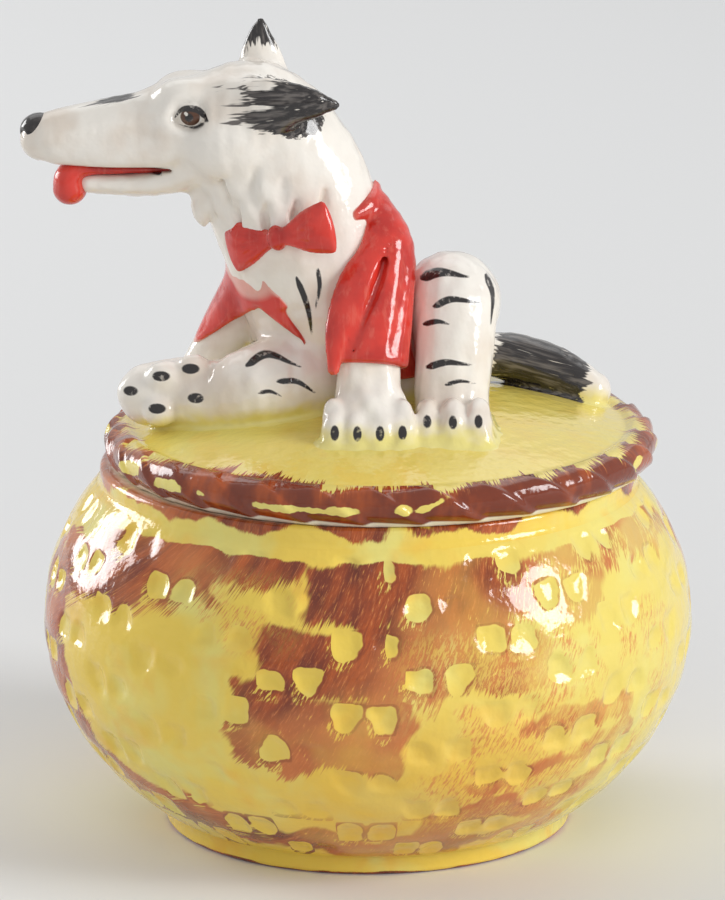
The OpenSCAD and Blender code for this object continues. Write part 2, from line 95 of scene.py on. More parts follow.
# One hollow: its corners, and how it is moved, grown, skewed and tapered at random
HOLLOW_CORNER = 1.8
HOLLOW_SHIFT = (0.06, 0.08)
HOLLOW_GROW = 0.25
HOLLOW_LESS = (0.7, 1.2)
HOLLOW_SKEW = 0.6
HOLLOW_UPRIGHT = 0.35
HOLLOW_TAPER = 0.3
HOLLOW_MARGIN = 0.5
HOLLOW_APART = 0.6
HOLLOW_SLOPE = (0.7, -1.9)
HOLLOW_DEPTHS = (0.8, 0.4)
# Hollows left yellow: larger by the foot, and fewer between two shares of x, where the brown is thick
FOOT_ROWS = 2
FOOT_ROWS_GROW = 0.5
THICK_X = (-0.4, 0.05)
PAINTED_OVER = 0.12
PAINTED_OVER_THICK = 0.36
NO_HOLLOW = 3.0

# Lid
LID_X = 2.5
LID_R = RIM_R + 2.0
LID_T = 5.0
DOME_RISE = 7.0
FLANGE_R = MOUTH_R - 3.0
FLANGE_T = 3.0
FLANGE_H = 5.0
ROPE_W = 6.5
ROPE_H = 8.0
ROPE_SEAT = 3.0
ROPE_STRANDS = 30
ROPE_GROOVE = 1.0
ROPE_SLANT = 0.35
ROLL_ROWS = 30
STRAND_COLUMNS = 22
# A strand: how late it rises to its crest, where it drops off, and the degrees over which it starts
CREST_POWER = 1.4
CREST_DROP = 0.82
CREST_START = (-90, -45)
DISC_R = LID_R - ROPE_W
ROLL_R = DISC_R + ROPE_SEAT
CROWN_Z = ROPE_H - 1 + DOME_RISE
DOME_BIG_R = (DISC_R ** 2 + DOME_RISE ** 2) / (2 * DOME_RISE)
ROPE_SHOULDER = [(ROLL_R - 1.2, ROPE_H - 0.15), (ROLL_R - 2.2, ROPE_H - 0.5), (DISC_R, ROPE_H - 0.85)]

# Brown on the rope edge: a tooth per strand, longer at random, and broad strokes about one place
TOOTH_H = 4.4
TOOTH_POWER = 1.5
TOOTH_DIP = 1.6
TOOTH_VARY = 2.2
BROAD_AT = -33
BROAD_OVER = 0.45
BROAD_REACH = (1, 9)
# Yellow left bare in it: degrees from the front, distance down the roll, half length, half width, tilt
LEAVES = [(-64, 5.5, 4.4, 1.9, 10), (-49.5, 6, 5, 1.6, 8), (-40, 6, 1.4, 0.9, 0), (-16, 6.4, 12, 0.9, 0),
          (4.5, 6, 2.2, 1.4, 0), (10, 5.2, 3.6, 0.9, 24), (68, 5, 3, 1.2, 20), (88, 5.6, 4, 1.2, 12),
          (118, 5.4, 5, 1.3, 6), (142, 6, 9, 1.0, 0), (168, 5.2, 3.4, 1.2, 22), (190, 5.8, 6, 1.2, 4),
          (214, 5.2, 3, 1.3, 18), (238, 6, 8, 1.0, 2), (264, 5.4, 4, 1.4, 14)]
NO_LEAF = 3.0


def smooth(low, high, x):
    """0 at low, 1 at high, flat beyond them, and an even slope with soft ends between."""
    t = np.clip((np.asarray(x, float) - low) / (high - low), 0, 1)
    return t * t * (3 - 2 * t)


def bowl_r(z, t=0.0):
    """Radius of the bowl form at height z, or of that form taken in by t all over."""
    c = np.where(np.asarray(z) > BELLY_Z, UPPER_C, LOWER_C) - t
    return (JAR_R - t) * np.sqrt(np.clip(1 - ((z - BELLY_Z) / c) ** 2, 0, None))


def dome_z(r):
    """Height of the lid's upper face above its seat at radius r."""
    return CROWN_Z - DOME_BIG_R + np.sqrt(DOME_BIG_R ** 2 - r ** 2)


def add_mesh(name, points, faces, body, material, nodes, fields):
    """A smooth mesh object from points in mm, riding on a body and standing for the named CAD nodes."""
    points = np.asarray(points).reshape(-1, 3)
    mesh = bpy.data.meshes.new(name)
    mesh.from_pydata((points * MM).tolist(), [], np.asarray(faces).tolist())
    mesh.polygons.foreach_set("use_smooth", np.ones(len(mesh.polygons), bool))
    for field, values in fields.items():
        values = np.asarray(values, np.float32).reshape(len(points), -1)
        single = values.shape[1] == 1
        layer = mesh.attributes.new(field, "FLOAT" if single else "FLOAT_VECTOR", "POINT")
        layer.data.foreach_set("value" if single else "vector", values.ravel())
    mesh.materials.append(material)
    obj = bpy.data.objects.new(name, mesh)
    bpy.context.scene.collection.objects.link(obj)
    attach(obj, body)
    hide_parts(*nodes)
    return obj


def rgb(red, green, blue):
    """A colour given in screen values from 0 to 255, as the shader's linear light."""
    def light(v):
        v /= 255
        return v / 12.92 if v <= 0.04045 else ((v + 0.055) / 1.055) ** 2.4
    return (light(red), light(green), light(blue), 1.0)


YELLOW = rgb(242, 209, 84)
LEMON = rgb(236, 222, 122)
OCHRE = rgb(243, 189, 64)
BROWN = rgb(176, 79, 22)
DARK_BROWN = rgb(120, 46, 16)
ORANGE_BROWN = rgb(220, 132, 70)
CREAM = rgb(236, 228, 206)
WHITE = rgb(243, 237, 227)
WARM_WHITE = rgb(230, 217, 202)
SHADOW_WHITE = rgb(196, 182, 166)
RED = rgb(220, 58, 45)
DEEP_RED = rgb(180, 34, 28)
PALE_RED = rgb(230, 120, 100)
SEAM_PINK = rgb(240, 205, 190)
BLACK = rgb(38, 34, 34)
SOFT_BLACK = rgb(70, 64, 62)
GREY = rgb(104, 98, 94)
EYE_BROWN = rgb(84, 50, 30)

# Gloss of the wares: roughness of each kind, and the clear coat on all of them
GLAZE_ROUGH = 0.12
RED_ROUGH = 0.14
BLACK_ROUGH = 0.1
COAT_WEIGHT = 0.25
COAT_ROUGH = 0.04
# Depth in mm of the uneven face of the glazes and of the enamels
GLAZE_PEEL = 0.25
DOG_PEEL = 0.2
BLACK_PEEL = 0.15

# Noises as size in 1/mm, detail, roughness and warp
PEEL = (0.35, 2, 0.5)
LEMON_CLOUDS = (0.045, 3, 0.55, 0.6)
OCHRE_POOLS = (0.09, 2, 0.5, 0.3)
BRISTLE_LINES = (2.3, 3, 0.6)
BROAD_STROKES = (0.15, 3, 0.6)
THIN_BROWN = (0.035, 2, 0.5)
STROKE_ENDS = (1.5, 2, 0.65)
STROKE_WANDER = (0.075, 2, 0.6)
HOLLOW_WOBBLE = (0.25, 1.5, 0.5)
FLECK_CLOUDS = (0.1, 2)
HATCH_CLOUDS = (0.09, 2.5, 0.6)
WASH_CLOUDS = (0.055, 2)
RIM_WANDER = (0.1, 2, 0.5)
ROPE_COMB = (1.7, 2, 0.7)
LEAF_WOBBLE = (0.3, 2)
WHITE_CLOUDS = (0.06, 3, 0.6)
FOOT_SPRAY = (0.25, 2)
DRY_STREAKS = (1.1, 2, 0.6)
INK_CLOUDS = (0.9, 2)
RED_STREAKS = (0.7, 3, 0.6)
RED_CLOUDS = (0.1, 3, 0.6)
BLACK_CLOUDS = (0.5, 2)


class Nodes:
    """A tree of shader nodes."""

    def __init__(self, tree):
        self.nodes, self.links = tree.nodes, tree.links

    def put(self, node, inputs):
        """Gives a node its inputs, each a value or another node's output, and returns its outputs."""
        for key, value in inputs.items():
            if isinstance(value, bpy.types.NodeSocket):
                self.links.new(value, node.inputs[key])
            else:
                node.inputs[key].default_value = value
        return node.outputs

    def math(self, operation, *values):
        node = self.nodes.new("ShaderNodeMath")
        node.operation = operation
        return self.put(node, dict(enumerate(values)))[0]

    def either(self, a, b):
        return self.math("MAXIMUM", a, b)

    def mix(self, share, a, b):
        node = self.nodes.new("ShaderNodeMix")
        node.data_type = "RGBA"
        return self.put(node, {"Factor": share, 6: a, 7: b})[2]


class Paint(Nodes):
    """A glazed material, with paint laid over paint."""

    def __init__(self, name, roughness=GLAZE_ROUGH):
        self.material = bpy.data.materials.new(name)
        self.material.use_nodes = True
        super().__init__(self.material.node_tree)
        self.shader = self.nodes["Principled BSDF"]
        gloss = {"Roughness": roughness, "Coat Weight": COAT_WEIGHT, "Coat Roughness": COAT_ROUGH}
        self.put(self.shader, gloss)

    def field(self, name, output="Fac"):
        """A number that each point of the mesh carries."""
        node = self.nodes.new("ShaderNodeAttribute")
        node.attribute_name = name
        return node.outputs[output]

    def brush(self, factors):
        """The mesh's own coordinates along its brush marks, drawn out by factors."""
        return self.scaled(self.field("brush", "Vector"), factors)

    def place(self):
        """The piece's own coordinates, in mm."""
        return self.scaled(self.nodes.new("ShaderNodeTexCoord").outputs["Object"], (1 / MM,) * 3)

    def scaled(self, vector, factors):
        node = self.nodes.new("ShaderNodeVectorMath")
        node.operation = "MULTIPLY"
        return self.put(node, {0: vector, 1: factors})[0]

    def noise(self, vector, scale, detail=2.0, rough=0.5, warp=0.0):
        inputs = {"Vector": vector, "Scale": scale, "Detail": detail, "Roughness": rough, "Distortion": warp}
        return self.put(self.nodes.new("ShaderNodeTexNoise"), inputs)["Fac"]

    def cloud(self, settings):
        """A noise over the piece."""
        return self.noise(self.place(), *settings)

    def times(self, a, b):
        return self.math("MULTIPLY", a, b)

    def plus(self, a, b):
        return self.math("ADD", a, b)

    def less(self, share, most=1.0):
        """What is left of 1 where a share of most is taken off."""
        return self.math("MULTIPLY_ADD", share, -most, 1.0)

    def off(self, value, middle):
        """How far a value is from a middle one, to either side."""
        return self.math("ABSOLUTE", self.math("SUBTRACT", value, middle))

    def swing(self, value, reach):
        """A noise from 0 to 1 as a way to either side, from -reach to reach."""
        return self.math("MULTIPLY_ADD", value, 2 * reach, -reach)

    def slope(self, value, low, high):
        """0 at low, 1 at high, smooth between and flat beyond."""
        node = self.nodes.new("ShaderNodeMapRange")
        node.interpolation_type = "SMOOTHSTEP"
        ends = (low, high, 0.0, 1.0) if low < high else (high, low, 1.0, 0.0)
        names = ("From Min", "From Max", "To Min", "To Max")
        return self.put(node, {"Value": value, **dict(zip(names, ends))})["Result"]

    def laid(self, under, over, value, low, high, most=1.0):
        """One colour laid over another as a value goes from low to high, at most by a share."""
        share = self.slope(value, low, high)
        return self.mix(share if most == 1.0 else self.times(share, most), under, over)

    def done(self, colour, depth):
        """Sets the colour, and the slightly uneven face of a fired glaze, some mm deep."""
        inputs = {"Strength": 1.0, "Distance": depth * MM, "Height": self.cloud(PEEL)}
        bump = self.put(self.nodes.new("ShaderNodeBump"), inputs)
        self.put(self.shader, {"Base Color": colour, "Normal": bump[0]})
        return self.material


def yellow_ground(paint):
    """Yellow glaze with soft lemon and ochre clouds."""
    ground = paint.laid(YELLOW, LEMON, paint.cloud(LEMON_CLOUDS), 0.42, 0.66)
    return paint.laid(ground, OCHRE, paint.cloud(OCHRE_POOLS), 0.5, 0.72, 0.65)


def brown_coat(paint, thin=0.0):
    """Brown brushed over the glaze and lighter where thin, and the noises of its fine and broad strokes.

    Bristles leave fine lines along the brush, and broad strokes are darker or paler as a whole.
    """
    fine = paint.noise(paint.brush((1, 1, 0.2)), *BRISTLE_LINES)
    broad = paint.noise(paint.brush((1, 1, 0.35)), *BROAD_STROKES)
    tone = paint.laid(DARK_BROWN, BROWN, broad, 0.4, 0.64)
    tone = paint.laid(tone, DARK_BROWN, fine, 0.46, 0.32, 0.5)
    thinned = paint.math("MULTIPLY_ADD", thin, 0.3, paint.cloud(THIN_BROWN))
    tone = paint.laid(tone, ORANGE_BROWN, thinned, 0.48, 0.7, 0.75)
    return paint.laid(tone, ORANGE_BROWN, fine, 0.5, 0.74, 0.7), fine, broad


def bowl_paint():
    """Brown brushwork over yellow on the weave, with most hollows left yellow."""
    paint = Paint("basket_glaze")
    lit_right, thin, hatched = paint.field("lit_right"), paint.field("thin"), paint.field("hatch")
    # The thin field also carries painted light: the brown is painted paler and more orange towards the right
    brown, fine, broad = brown_coat(paint, thin)
    # Broad strokes with wandering outlines and bristle marks at their lower ends
    ends = paint.swing(paint.noise(paint.brush((1, 1, 0.04)), *STROKE_ENDS), 5.5)
    ragged = paint.plus(paint.times(ends, paint.field("feather")), paint.swing(broad, 2.5))
    wander = paint.math("MULTIPLY_ADD", paint.cloud(STROKE_WANDER), 16.0, -7.0)
    cover = paint.slope(paint.plus(paint.plus(paint.field("patch"), wander), ragged), -0.4, 1.2)
    # Hollows with a dark outline, yellow combed out below them, and flecks of yellow, more of them towards
    # the right as painted light
    wobble = paint.swing(paint.cloud(HOLLOW_WOBBLE), 1.5)
    edge = paint.plus(paint.field("hollow"), wobble)
    hole = paint.slope(edge, 0.1, -0.15)
    brown = paint.laid(brown, DARK_BROWN, paint.off(edge, 0.35), 0.5, 0.1, 0.4)
    comb = paint.slope(paint.plus(paint.field("hollow_above"), wobble), 0.0, -0.8)
    comb = paint.times(comb, paint.slope(fine, 0.5, 0.6))
    flecks = paint.slope(paint.math("MULTIPLY_ADD", lit_right, 0.17, fine), 0.65, 0.77)
    flecks = paint.times(flecks, paint.slope(paint.cloud(FLECK_CLOUDS), 0.42, 0.58))
    bare = paint.either(paint.either(hole, comb), flecks)
    # Thin outlines by the foot, strokes opened up by a dry brush, and a wash where the brown is thin and, as
    # painted light, towards the right
    net = paint.times(paint.slope(paint.off(edge, 0.7), 0.9, 0.5), paint.field("net"))
    patchy = paint.cloud(HATCH_CLOUDS)
    opened = paint.times(paint.slope(fine, 0.54, 0.42), paint.slope(patchy, 0.6, 0.46))
    wash = paint.times(thin, paint.slope(paint.cloud(WASH_CLOUDS), 0.42, 0.6))
    cover = paint.times(paint.either(cover, net), paint.less(paint.times(opened, hatched), 0.6))
    cover = paint.times(paint.times(cover, paint.less(bare)), paint.less(wash, 0.55))
    # Yellow: paler towards the right as painted light, warmer in the lower front, with loose lines of a dry
    # brush
    yellow = paint.mix(paint.times(lit_right, 0.6), yellow_ground(paint), LEMON)
    yellow = paint.mix(paint.times(paint.field("warm"), 0.55), yellow, OCHRE)
    lines = paint.times(paint.slope(fine, 0.48, 0.62), paint.slope(patchy, 0.44, 0.56))
    lines = paint.times(paint.times(lines, hatched), paint.times(paint.less(hole), 0.8))
    yellow = paint.mix(lines, yellow, ORANGE_BROWN)
    return paint.done(paint.mix(cover, yellow, brown), GLAZE_PEEL)


def body_paint():
    """Yellow outside with brown at the rim and foot, and cream inside."""
    paint = Paint("bowl_glaze")
    brown, fine, _ = brown_coat(paint)
    ragged = paint.plus(paint.swing(paint.cloud(RIM_WANDER), 5.5), paint.swing(fine, 1.0))
    cover = paint.slope(paint.plus(paint.field("patch"), ragged), -0.3, 0.5)
    colour = paint.mix(cover, yellow_ground(paint), brown)
    return paint.done(paint.mix(paint.field("cream"), colour, CREAM), GLAZE_PEEL)


def lid_paint():
    """Yellow dome, brown rope edge combed onto the dome, bare leaves in it, and a cream underside."""
    paint = Paint("lid_glaze")
    combed, _, broad = brown_coat(paint)
    comb = paint.swing(paint.noise(paint.brush((1, 1, 0)), *ROPE_COMB), 5.0)
    inward = paint.plus(paint.plus(paint.field("down"), paint.field("reach")), comb)
    wobble = paint.swing(paint.cloud(LEAF_WOBBLE), 1.2)
    leaf = paint.slope(paint.plus(paint.field("leaf"), wobble), 0.05, -0.15)
    cover = paint.times(paint.slope(inward, -0.2, 0.5), paint.less(leaf))
    plain = paint.laid(DARK_BROWN, BROWN, broad, 0.42, 0.72)
    brown = paint.laid(plain, combed, inward, 3.5, 1.0)
    colour = paint.mix(cover, paint.mix(0.55, yellow_ground(paint), LEMON), brown)
    bare = paint.either(paint.slope(paint.field("down"), 9.6, 10.1), paint.field("cream"))
    return paint.done(paint.mix(bare, colour, CREAM), GLAZE_PEEL)


def dog_paint():
    """White glaze, yellow spray around the feet, dry-brushed black, ink strokes and eyes."""
    paint = Paint("white_glaze")
    ground = paint.laid(WHITE, WARM_WHITE, paint.cloud(WHITE_CLOUDS), 0.42, 0.7)
    ground = paint.laid(ground, SHADOW_WHITE, paint.field("curve"), 0.02, 0.22, 0.6)
    spray = paint.plus(paint.field("height"), paint.swing(paint.cloud(FOOT_SPRAY), 2.0))
    ground = paint.laid(ground, LEMON, spray, 4.5, 0.6, 0.9)
    streak = paint.noise(paint.brush((0.06, 1, 1)), *DRY_STREAKS)
    dry = paint.slope(paint.plus(paint.field("dry"), paint.swing(streak, 1.1)), 0.4, 0.65)
    dry = paint.times(dry, paint.slope(paint.field("dry"), 0.02, 0.1))
    colour = paint.mix(dry, ground, paint.laid(BLACK, GREY, streak, 0.45, 0.7))
    colour = paint.laid(colour, EYE_BROWN, paint.field("iris"), 0.1, -0.1)
    thin = paint.slope(paint.cloud(INK_CLOUDS), 0.55, 0.75)
    inked = paint.times(paint.slope(paint.field("ink"), 0.12, -0.12), paint.less(thin, 0.35))
    colour = paint.mix(inked, colour, paint.mix(thin, BLACK, GREY))
    return paint.done(paint.laid(colour, WHITE, paint.field("glint"), 0.08, -0.08), DOG_PEEL)


def red_paint():
    """Red enamel: streaky, deeper red in folds as painted shade, paler on edges where the enamel runs thin
    and as painted highlight, and paler where it meets the white.
    """
    paint = Paint("red_enamel_paint", RED_ROUGH)
    streak = paint.noise(paint.scaled(paint.place(), (1, 1, 0.15)), *RED_STREAKS)
    tone = paint.laid(RED, DEEP_RED, paint.cloud(RED_CLOUDS), 0.4, 0.65, 0.7)
    tone = paint.laid(tone, PALE_RED, streak, 0.5, 0.75, 0.35)
    # Painted shade: deeper red in folds and creases
    tone = paint.laid(tone, DEEP_RED, paint.field("curve"), 0.03, 0.2)
    # Paler red on edges: the enamel running thin there, and a painted highlight
    tone = paint.laid(tone, PALE_RED, paint.field("curve"), -0.08, -0.3, 0.7)
    tone = paint.laid(tone, SEAM_PINK, paint.off(paint.field("seam"), 0.0), 0.35, 0.1, 0.6)
    return paint.done(tone, DOG_PEEL)


def black_paint():
    """Black enamel with a soft sheen."""
    paint = Paint("black_enamel_paint", BLACK_ROUGH)
    return paint.done(paint.laid(BLACK, SOFT_BLACK, paint.cloud(BLACK_CLOUDS), 0.45, 0.7), BLACK_PEEL)


def grid_faces(rows, columns):
    """Quads of a band of rows x columns points that closes on itself around."""
    k, i = np.meshgrid(np.arange(rows - 1), np.arange(columns), indexing="ij")
    j = (i + 1) % columns
    a = k * columns
    return np.stack([a + i, a + j, a + columns + j, a + columns + i], -1).reshape(-1, 4)


def around(r, turn, z):
    """Points at a radius, an angle and a height, which broadcast against each other."""
    r, turn, z = np.broadcast_arrays(r, turn, z)
    return np.stack([r * np.cos(turn), r * np.sin(turn), z], -1)


def turned(profile, columns):
    """A revolved profile: points row by row, their angles, and the faces between the rows."""
    profile = np.asarray(profile, float)
    turn = np.arange(columns) * TURN / columns
    return around(profile[:, :1], turn, profile[:, 1:]), turn, grid_faces(len(profile), columns)


def arc(x, z, r, a0, a1, n):
    """Points of an arc about (x, z), with angles in degrees."""
    a = np.radians(np.linspace(a0, a1, n + 1))
    return np.stack([x + r * np.cos(a), z + r * np.sin(a)], -1)


def weave_angle(row):
    """Angle on the bowl's ellipses of a row of the weave, evenly spaced."""
    a0 = -math.asin((BELLY_Z - WEAVE_Z0) / LOWER_C)
    a1 = math.asin((WEAVE_Z1 - BELLY_Z) / UPPER_C)
    return a0 + (a1 - a0) * row / WEAVE_ROWS


def cell_noise(c, r, salt):
    """A fixed number from 0 to 1 for each cell of the weave."""
    return np.modf(np.abs(np.sin(c * 12.9898 + r * 78.233 + salt * 37.719) * 43758.5453))[0]


def box_distance(u, v, half_u, half_v):
    """Signed distance to a flat rectangle about zero, less than zero inside it."""
    qu, qv = np.abs(u) - half_u, np.abs(v) - half_v
    return np.hypot(np.clip(qu, 0, None), np.clip(qv, 0, None)) + np.minimum(np.maximum(qu, qv), 0)


def weave_hollow(c, row):
    """The weave at a place counted in cells around and rows up: pairs of hollows take turns with pads.

    Gives its depth, from 0 on ridges to 1 in hollows, how far a pad swells from 0 to 1, and the
    signed distance in mm to the outline of a hollow that is left yellow.
    """
    cell, r = np.floor(c) % WEAVE_COLUMNS, np.floor(np.clip(row, 0, WEAVE_ROWS - 1e-6))
    hollow = (np.floor(cell / 2) + r) % 2 == 0
    wide, tall = TURN * JAR_R / WEAVE_COLUMNS, WEAVE_ROW_H

    def vary(salt):
        return cell_noise(cell, r, salt)

    u = (c - np.floor(c) - 0.5 + HOLLOW_SHIFT[0] * (vary(1) - 0.5)) * wide
    v = (row - r - 0.5 + HOLLOW_SHIFT[1] * (vary(2) - 0.5)) * tall
    to_next = np.abs(u) - wide / 2 + HOLLOW_APART
    u = u + HOLLOW_SKEW * v * (vary(9) - HOLLOW_UPRIGHT)
    half_u = (wide - WEAVE_RIDGE) / 2 + HOLLOW_GROW - HOLLOW_LESS[0] * vary(3)
    half_u = np.minimum(half_u * (1 + HOLLOW_TAPER * (vary(10) - 0.5) * v), wide / 2 - HOLLOW_MARGIN)
    half_v = (tall - WEAVE_RIDGE) / 2 + HOLLOW_GROW - HOLLOW_LESS[1] * vary(4)
    edge = box_distance(u, v, half_u - HOLLOW_CORNER, half_v - HOLLOW_CORNER) - HOLLOW_CORNER
    edge = np.maximum(edge, to_next)
    deep = HOLLOW_DEPTHS[0] + HOLLOW_DEPTHS[1] * vary(5)
    depth = np.where(hollow, smooth(*HOLLOW_SLOPE, edge), 0) * deep
    low = r < FOOT_ROWS
    x = np.cos(c * TURN / WEAVE_COLUMNS + WEAVE_TURN)
    thick = (x >= THICK_X[0]) & (x <= THICK_X[1]) & ~low
    left = hollow & (vary(6) > np.where(thick, PAINTED_OVER_THICK, PAINTED_OVER))
    edge = np.where(left, edge - FOOT_ROWS_GROW * low, NO_HOLLOW)
    across, up = (c / 2 - np.floor(c / 2) - 0.5) * 2, (row - r - 0.5) * 2
    return depth, np.where(hollow, 0, (1 - across ** 4) * (1 - up ** 4)), edge


# Brush marks on the bowl lean to the right as they rise, and more so about one place on the left
BRUSH_LEAN = 0.36
LEFT_LEAN = 1.0
LEFT_LEAN_AT = -55
LEFT_LEAN_OVER = 0.5


def slant(z):
    """Distance up the curve of the bowl from its widest line."""
    c = np.where(np.asarray(z) > BELLY_Z, UPPER_C, LOWER_C)
    return 0.5 * (c + JAR_R) * np.arcsin(np.clip((z - BELLY_Z) / c, -1, 1))


def brush_field(turn, s):
    """Coordinates whose third axis runs along the brush marks."""
    lean = BRUSH_LEAN + LEFT_LEAN * np.exp(-(from_front(turn, LEFT_LEAN_AT) / LEFT_LEAN_OVER) ** 2)
    return around(JAR_R, turn - s * lean / JAR_R, s)


def from_front(turn, degrees):
    """Angles around the axis, measured from a place given in degrees from the front."""
    return (turn + math.pi / 2 - math.radians(degrees) + math.pi) % TURN - math.pi


def swath(turn, s, place, half, tilt):
    """How far points lie inside a broad stroke at (degrees from the front, height), in mm."""
    u, v = JAR_R * from_front(turn, place[0]), s - slant(place[1])
    a = math.radians(tilt)
    u, v = u * math.cos(a) + v * math.sin(a), v * math.cos(a) - u * math.sin(a)
    return -box_distance(u, v, *half)


# Broad brown strokes as (degrees from the front, height), (half length, half height) in mm, tilt in degrees
FRONT_STROKES = [
    ((-54, 61), (28, 7.5), 12), ((-24, 65), (13, 3.0), 8), ((-77, 46), (9, 15), 0),
    ((-64, 23), (17, 3.4), -38), ((18, 62), (34, 6.5), 0), ((4, 50), (25, 8), 3), ((-9, 36), (17, 9), -4),
    ((20, 48), (16, 4), 8), ((68, 65), (18, 4.0), -6), ((92, 52), (5, 16), 0), ((34, 35), (20, 1.0), 4),
    ((38, 26), (20, 2.0), 6), ((32, 16), (23, 4.2), 8), ((28, 9), (26, 2.6), 5),
    ((-27, 10.5), (27, 5.0), -7), ((-4, 7), (30, 1.6), -2)]
BACK_STROKES = [
    ((132, 60), (28, 7), 8), ((178, 63), (24, 6), -4), ((222, 60), (20, 7), 10), ((150, 44), (24, 8), 4),
    ((196, 34), (22, 10), -5), ((242, 42), (14, 7), 0), ((128, 26), (20, 5), 10), ((170, 14), (28, 3), 4),
    ((226, 18), (20, 4), -8), ((256, 30), (12, 3), -20)]
# Loose lines of a dry brush: degrees from the front, height, half width in radians, half height
HATCHED = [(36, 34, 0.62, 24), (-26, 58, 0.3, 9), (152, 30, 0.5, 20), (228, 40, 0.4, 16)]
HATCH_FADE = (0.25, 6)
# Yellow combed out of hollows, in cells across and rows down
COMB_SHIFT = (0.16, 0.3)
# Bristle marks on the strokes' lower edges: least share elsewhere, and the heights over which they start
FEATHER_LEAST = 0.2
FEATHER_FROM = (8, 20)
# The neck kept free of brown: by how many mm, and from how far below to above the weave's upper edge
NECK_BARE = 14
NECK_BARE_FROM = (-2.4, 0.3)
# Fades of the other paint fields, as heights, radians from a place on the front in degrees, or x
NET_BELOW = (18, 14)
NET_RIGHT = (0.45, 0.2)
NET_LEFT = (-2.2, -1.7)
THIN_BELOW = (48, 34)
THIN_AT = -8
THIN_OVER = 0.4
THIN_SHARE = 0.7
# Painted light: the bowl is painted paler towards the right over this span of x in mm
LIT_RIGHT_X = (0, 45)
WARM_AT = 14
WARM_OVER = (0.75, 0.2)
WARM_BELOW = (52, 26)


def make_bowl():
    """The woven outer face of the bowl."""
    columns, rows = BOWL_GRID
    turn = np.arange(columns) * TURN / columns
    row = np.linspace(0, WEAVE_ROWS, rows)[:, None]
    a = weave_angle(row)
    z = BELLY_Z + np.where(a > 0, UPPER_C, LOWER_C) * np.sin(a)
    s = slant(z)
    c = (turn - WEAVE_TURN) * WEAVE_COLUMNS / TURN + 0 * row
    depth, swell, edge = weave_hollow(c, row + 0 * turn)
    above = weave_hollow(c + COMB_SHIFT[0], row + COMB_SHIFT[1] + 0 * turn)[2]
    fade = smooth(0, WEAVE_FADE, row) * smooth(WEAVE_ROWS, WEAVE_ROWS - WEAVE_FADE, row)
    points = around(bowl_r(z) - WEAVE_DEPTH * depth * fade - WEAVE_SWELL * (1 - swell), turn, z)
    patch = np.max([swath(turn, s, *stroke) for stroke in FRONT_STROKES + BACK_STROKES], axis=0)
    rise = np.gradient(patch, axis=0) / np.gradient(s, axis=0)
    lower_edge = np.clip(rise, 0, 1) / (np.hypot(rise, np.gradient(patch, JAR_R * turn[1], axis=1)) + 0.01)
    patch = patch - NECK_BARE * smooth(WEAVE_Z1 + NECK_BARE_FROM[0], WEAVE_Z1 + NECK_BARE_FROM[1], z)
    front = from_front(turn, 0)
    # Painted light: the right side gets paler yellow, paler and thinner brown, and more yellow flecks
    lit_right = smooth(*LIT_RIGHT_X, points[..., 0])
    thinned = smooth(*THIN_BELOW, z) * np.exp(-(from_front(turn, THIN_AT) / THIN_OVER) ** 2)
    hatches = [smooth(wide, wide - HATCH_FADE[0], np.abs(from_front(turn, at)))
               * smooth(tall, tall - HATCH_FADE[1], np.abs(z - height))
               for at, height, wide, tall in HATCHED]
    fields = {"hollow": edge, "hollow_above": above, "patch": patch, "lit_right": lit_right,
              "brush": brush_field(turn, s),
              "feather": (FEATHER_LEAST + (1 - FEATHER_LEAST) * lower_edge) * smooth(*FEATHER_FROM, z),
              "net": smooth(*NET_BELOW, z) * smooth(*NET_RIGHT, front) * smooth(*NET_LEFT, front),
              "thin": np.maximum(lit_right, THIN_SHARE * thinned),
              "hatch": np.max(hatches, axis=0),
              "warm": smooth(*WARM_OVER, np.abs(from_front(turn, WARM_AT))) * smooth(*WARM_BELOW, z)}
    return add_mesh("bowl_weave", points, grid_faces(rows, columns), "jar", bowl_paint(),
                    ["weave_relief"], fields)


# Brown on the plain parts: mm down from the rim's top, and mm up from the ground with its steepness
RIM_BROWN = 1.2
FOOT_BROWN = 0.6
FOOT_BROWN_STEEP = 5
NO_BROWN = -9


def make_bowl_body():
    """Rim, inside, floor and foot of the bowl, and the face behind the weave."""
    floor_z = FOOT_RECESS + FLOOR_T
    inside_z = np.linspace(WEAVE_Z1, floor_z + EDGE, BODY_ROWS)
    inside = np.maximum(bowl_r(inside_z, WEAVE_T + WALL), np.where(inside_z > BELLY_Z, MOUTH_R, 0))
    behind = np.linspace(WEAVE_Z0 + BEHIND_FROM, WEAVE_Z1 - BEHIND_FROM, BODY_ROWS)
    foot_in = FOOT_R - FOOT_W
    under = [[AXIS_R, FOOT_RECESS], [foot_in - FOOT_RECESS, FOOT_RECESS], [foot_in, 0]]
    out = np.concatenate([
        arc(FOOT_R - EDGE, EDGE, EDGE, -90, 0, 6), FOOT_CURVE,
        np.stack([bowl_r(behind, BEHIND_T), behind], -1), NECK_CURVE,
        arc(RIM_R - EDGE, JAR_H - EDGE, EDGE, 0, 90, 6)])
    within = np.concatenate([
        arc(MOUTH_R + EDGE, JAR_H - EDGE, EDGE, 90, 180, 6), np.stack([inside, inside_z], -1),
        [[inside[-1] - EDGE, floor_z], [AXIS_R, floor_z]]])
    points, turn, faces = turned(np.concatenate([under, out, within]), BODY_COLUMNS)
    cream = np.repeat([1, 0, 1], [len(under), len(out), len(within)])[:, None] + 0 * turn
    x, y, z = np.moveaxis(points, -1, 0)
    rim = (np.hypot(x, y) > MOUTH_R + 1) & (z > BELLY_Z)
    patch = np.where(rim, RIM_BROWN - (JAR_H - z), NO_BROWN)
    patch = np.maximum(patch, np.where(z < EDGE, FOOT_BROWN_STEEP * (FOOT_BROWN - z), NO_BROWN))
    return add_mesh("bowl_body", points, faces, "jar", body_paint(), ["jar_bowl"],
                    {"patch": patch, "cream": cream, "brush": brush_field(turn, z)})


